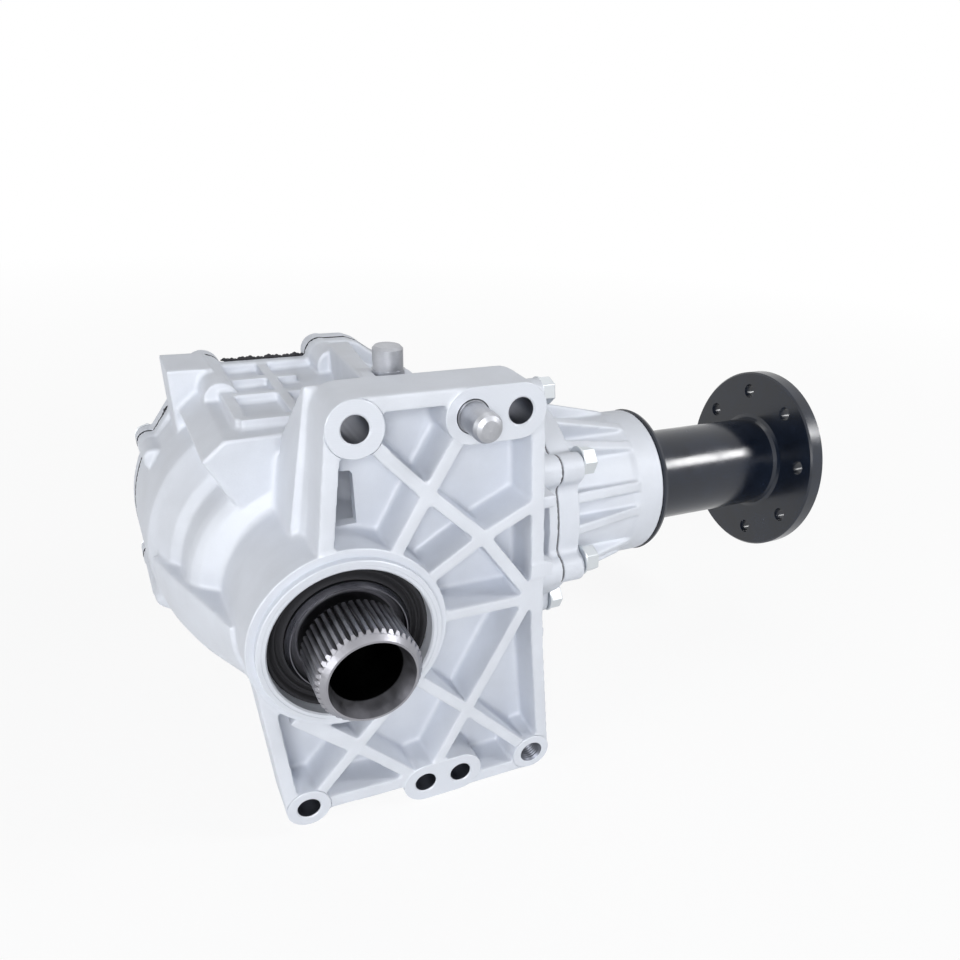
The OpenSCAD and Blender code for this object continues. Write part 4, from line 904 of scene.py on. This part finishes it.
class CASE_OT_finishes(bpy.types.Operator):
    """Make the finishes, and give every node its own"""

    bl_idname = "transfer_case.finishes"
    bl_label = "Finishes"

    def execute(self, context):
        p = context.scene.finish_props
        hole_shade_colour = context.scene.casting_props.hole_shade_colour
        # The centre of the rings, and the axes across which their radius counts
        about_y = (ORIGIN, (1, 0, 1))
        about_x = ((0, PINION_Y, 0), (0, 1, 1))
        mats = {"shaft": shaft_material("shaft_steel", p.steel)}
        for key, name, colour, roughness, axis, pitch, bump in (
                ("gear_y", "gear_steel_y", p.steel, 0.36, about_y, 0.0005, 0.2),
                ("gear_x", "gear_steel_x", p.steel, 0.36, about_x, 0.0005, 0.2),
                ("sleeve", "sleeve_steel", p.sleeve, 0.3, about_y, 0.0004, 0.1),
                ("ground", "ground_steel", p.ground, 0.42, about_y, 0.0006, 0.05),
                # Painted shade: the dark metal of the drilled holes' walls
                ("bored", "painted_hole_shade", hole_shade_colour, 0.4, about_y, 0.0006, 0.1),
                ("bearing", "bearing_steel", p.bearing, 0.2, about_y, 0.0008, 0.05),
                ("zinc", "zinc_steel", p.zinc, 0.36, about_x, 0.0009, 0.05)):
            mats[key] = steel_material(name, colour, roughness, axis, pitch, bump)
        for key, name, colour, roughness, specular, grain_scale in (
                ("enamel", "black_enamel", p.enamel, 0.2, 0.6, 1500.0),
                ("rubber", "black_rubber", p.rubber, 0.34, 0.22, 2200.0)):
            mats[key] = coat_material(name, colour, roughness, specular, grain_scale)
        slots = {s["node"]: s["material_slot"] for s in frame["record"]["subparts"]}
        for node, obj in frame["nodes"].items():
            give(obj, mats[NODE_FINISH.get(node, SLOT_FINISH[slots[node]])])
        return {"FINISHED"}


# Stage


def seen_directly(tree):
    """One for rays that show the white background: from the camera, gloss or glass."""
    path = add_node(tree, "ShaderNodeLightPath", (-300, 300))
    both = add_node(tree, "ShaderNodeMath", (-150, 300), operation="MAXIMUM")
    all_three = add_node(tree, "ShaderNodeMath", (-50, 300), operation="MAXIMUM")
    link(tree, (path.outputs["Is Camera Ray"], both.inputs[0]),
         (path.outputs["Is Glossy Ray"], both.inputs[1]), (both.outputs[0], all_three.inputs[0]),
         (path.outputs["Is Transmission Ray"], all_three.inputs[1]))
    return all_three.outputs[0]


def floor_material(colour):
    """A pale floor that turns into the white background away from the object."""
    mat, tree, shader, vector = principled("floor")
    shader.inputs["Base Color"].default_value = (*colour, 1)
    shader.inputs["Roughness"].default_value = 0.9
    glow = add_node(tree, "ShaderNodeEmission", (0, -200), Strength=1.0)
    mix = add_node(tree, "ShaderNodeMixShader", (300, 0))
    seen = add_node(tree, "ShaderNodeMath", (0, 300), operation="MULTIPLY")
    far = add_node(tree, "ShaderNodeVectorMath", (-700, 500), operation="LENGTH")
    white = spread(tree, far.outputs["Value"], low=0.9, high=1.0, start=0.3, end=1.6)
    link(tree, (vector, far.inputs[0]), (seen_directly(tree), seen.inputs[0]),
         (white, seen.inputs[1]), (seen.outputs[0], mix.inputs[0]),
         (shader.outputs[0], mix.inputs[1]), (glow.outputs[0], mix.inputs[2]),
         (mix.outputs[0], tree.nodes["Material Output"].inputs["Surface"]))
    return mat


def room(sky):
    """A world that lights the object evenly and looks white."""
    world = bpy.data.worlds.new("room")
    world.use_nodes = True
    tree = world.node_tree
    back = tree.nodes["Background"]
    back.inputs["Color"].default_value = ROOM_COLOUR
    white = add_node(tree, "ShaderNodeBackground", (0, -200), Color=(1, 1, 1, 1), Strength=1.0)
    mix = add_node(tree, "ShaderNodeMixShader", (300, 0))
    coords = add_node(tree, "ShaderNodeTexCoord", (-900, 0))
    axes = add_node(tree, "ShaderNodeSeparateXYZ", (-700, 0))
    fade = spread(tree, axes.outputs["Z"], low=sky, high=sky * ROOM_TOP, start=-0.2, end=0.9)
    link(tree, (coords.outputs["Generated"], axes.inputs[0]), (fade, back.inputs["Strength"]),
         (seen_directly(tree), mix.inputs[0]), (back.outputs[0], mix.inputs[1]),
         (white.outputs[0], mix.inputs[2]), (mix.outputs[0], tree.nodes["World Output"].inputs[0]))
    return world


class CASE_OT_stage(bpy.types.Operator):
    """Set the floor, the lights and the camera"""

    bl_idname = "transfer_case.stage"
    bl_label = "Stage"

    def execute(self, context):
        props = context.scene.stage_props
        scene = context.scene
        scene.view_settings.view_transform = "Standard"
        bm = bmesh.new()
        bmesh.ops.create_grid(bm, x_segments=2, y_segments=2, size=FLOOR_SIZE)
        bmesh.ops.translate(bm, verts=bm.verts, vec=FLOOR_MIDDLE)
        floor = piece_from("floor", bm)
        give(floor, floor_material(props.floor))
        scene.world = room(props.sky)
        for name, place, size, share in LAMPS:
            lamp = bpy.data.lights.new(name, "AREA")
            lamp.energy = props.key * share
            lamp.size = size
            obj = bpy.data.objects.new(name, lamp)
            obj.location = place
            obj.rotation_euler = (LAMPS_AIM - Vector(place)).to_track_quat("-Z", "Y").to_euler()
            scene.collection.objects.link(obj)
        cam = bpy.data.cameras.new("camera")
        cam.sensor_width = 36
        cam.lens = CAMERA_LENS
        cam.shift_x, cam.shift_y = CAMERA_SHIFT
        cam.clip_start = 0.01
        obj = bpy.data.objects.new("camera", cam)
        obj.matrix_world = Matrix.Translation(CAMERA_PLACE) @ Matrix(CAMERA_TURN).to_4x4()
        scene.collection.objects.link(obj)
        scene.camera = obj
        return {"FINISHED"}


# Panel and main


STEPS = ("stage", "finishes", "castings", "seals", "screws", "shaft")


class CASE_PT_panel(bpy.types.Panel):
    """Lists the steps that build the transfer case"""

    bl_idname = "CASE_PT_panel"
    bl_label = "Transfer case"
    bl_space_type = "VIEW_3D"
    bl_region_type = "UI"
    bl_category = "Transfer case"

    def draw(self, context):
        for step in STEPS:
            self.layout.operator("transfer_case." + step)


CLASSES = (CastingProps, FinishProps, StageProps, CASE_OT_stage, CASE_OT_finishes,
           CASE_OT_castings, CASE_OT_seals, CASE_OT_screws, CASE_OT_shaft, CASE_PT_panel)
PROPS = {"casting_props": CastingProps, "finish_props": FinishProps, "stage_props": StageProps}


def register():
    """Registers the classes and hangs the properties on the scene."""
    for cls in CLASSES:
        bpy.utils.register_class(cls)
    for name, cls in PROPS.items():
        setattr(bpy.types.Scene, name, bpy.props.PointerProperty(type=cls))


def unregister():
    """Takes the properties and the classes away again."""
    for name in PROPS:
        delattr(bpy.types.Scene, name)
    for cls in reversed(CLASSES):
        bpy.utils.unregister_class(cls)


def main():
    """Runs the steps in order."""
    register()
    grain_group()
    turned_group()
    for step in STEPS:
        getattr(bpy.ops.transfer_case, step)()


if __name__ == "__main__":
    main()
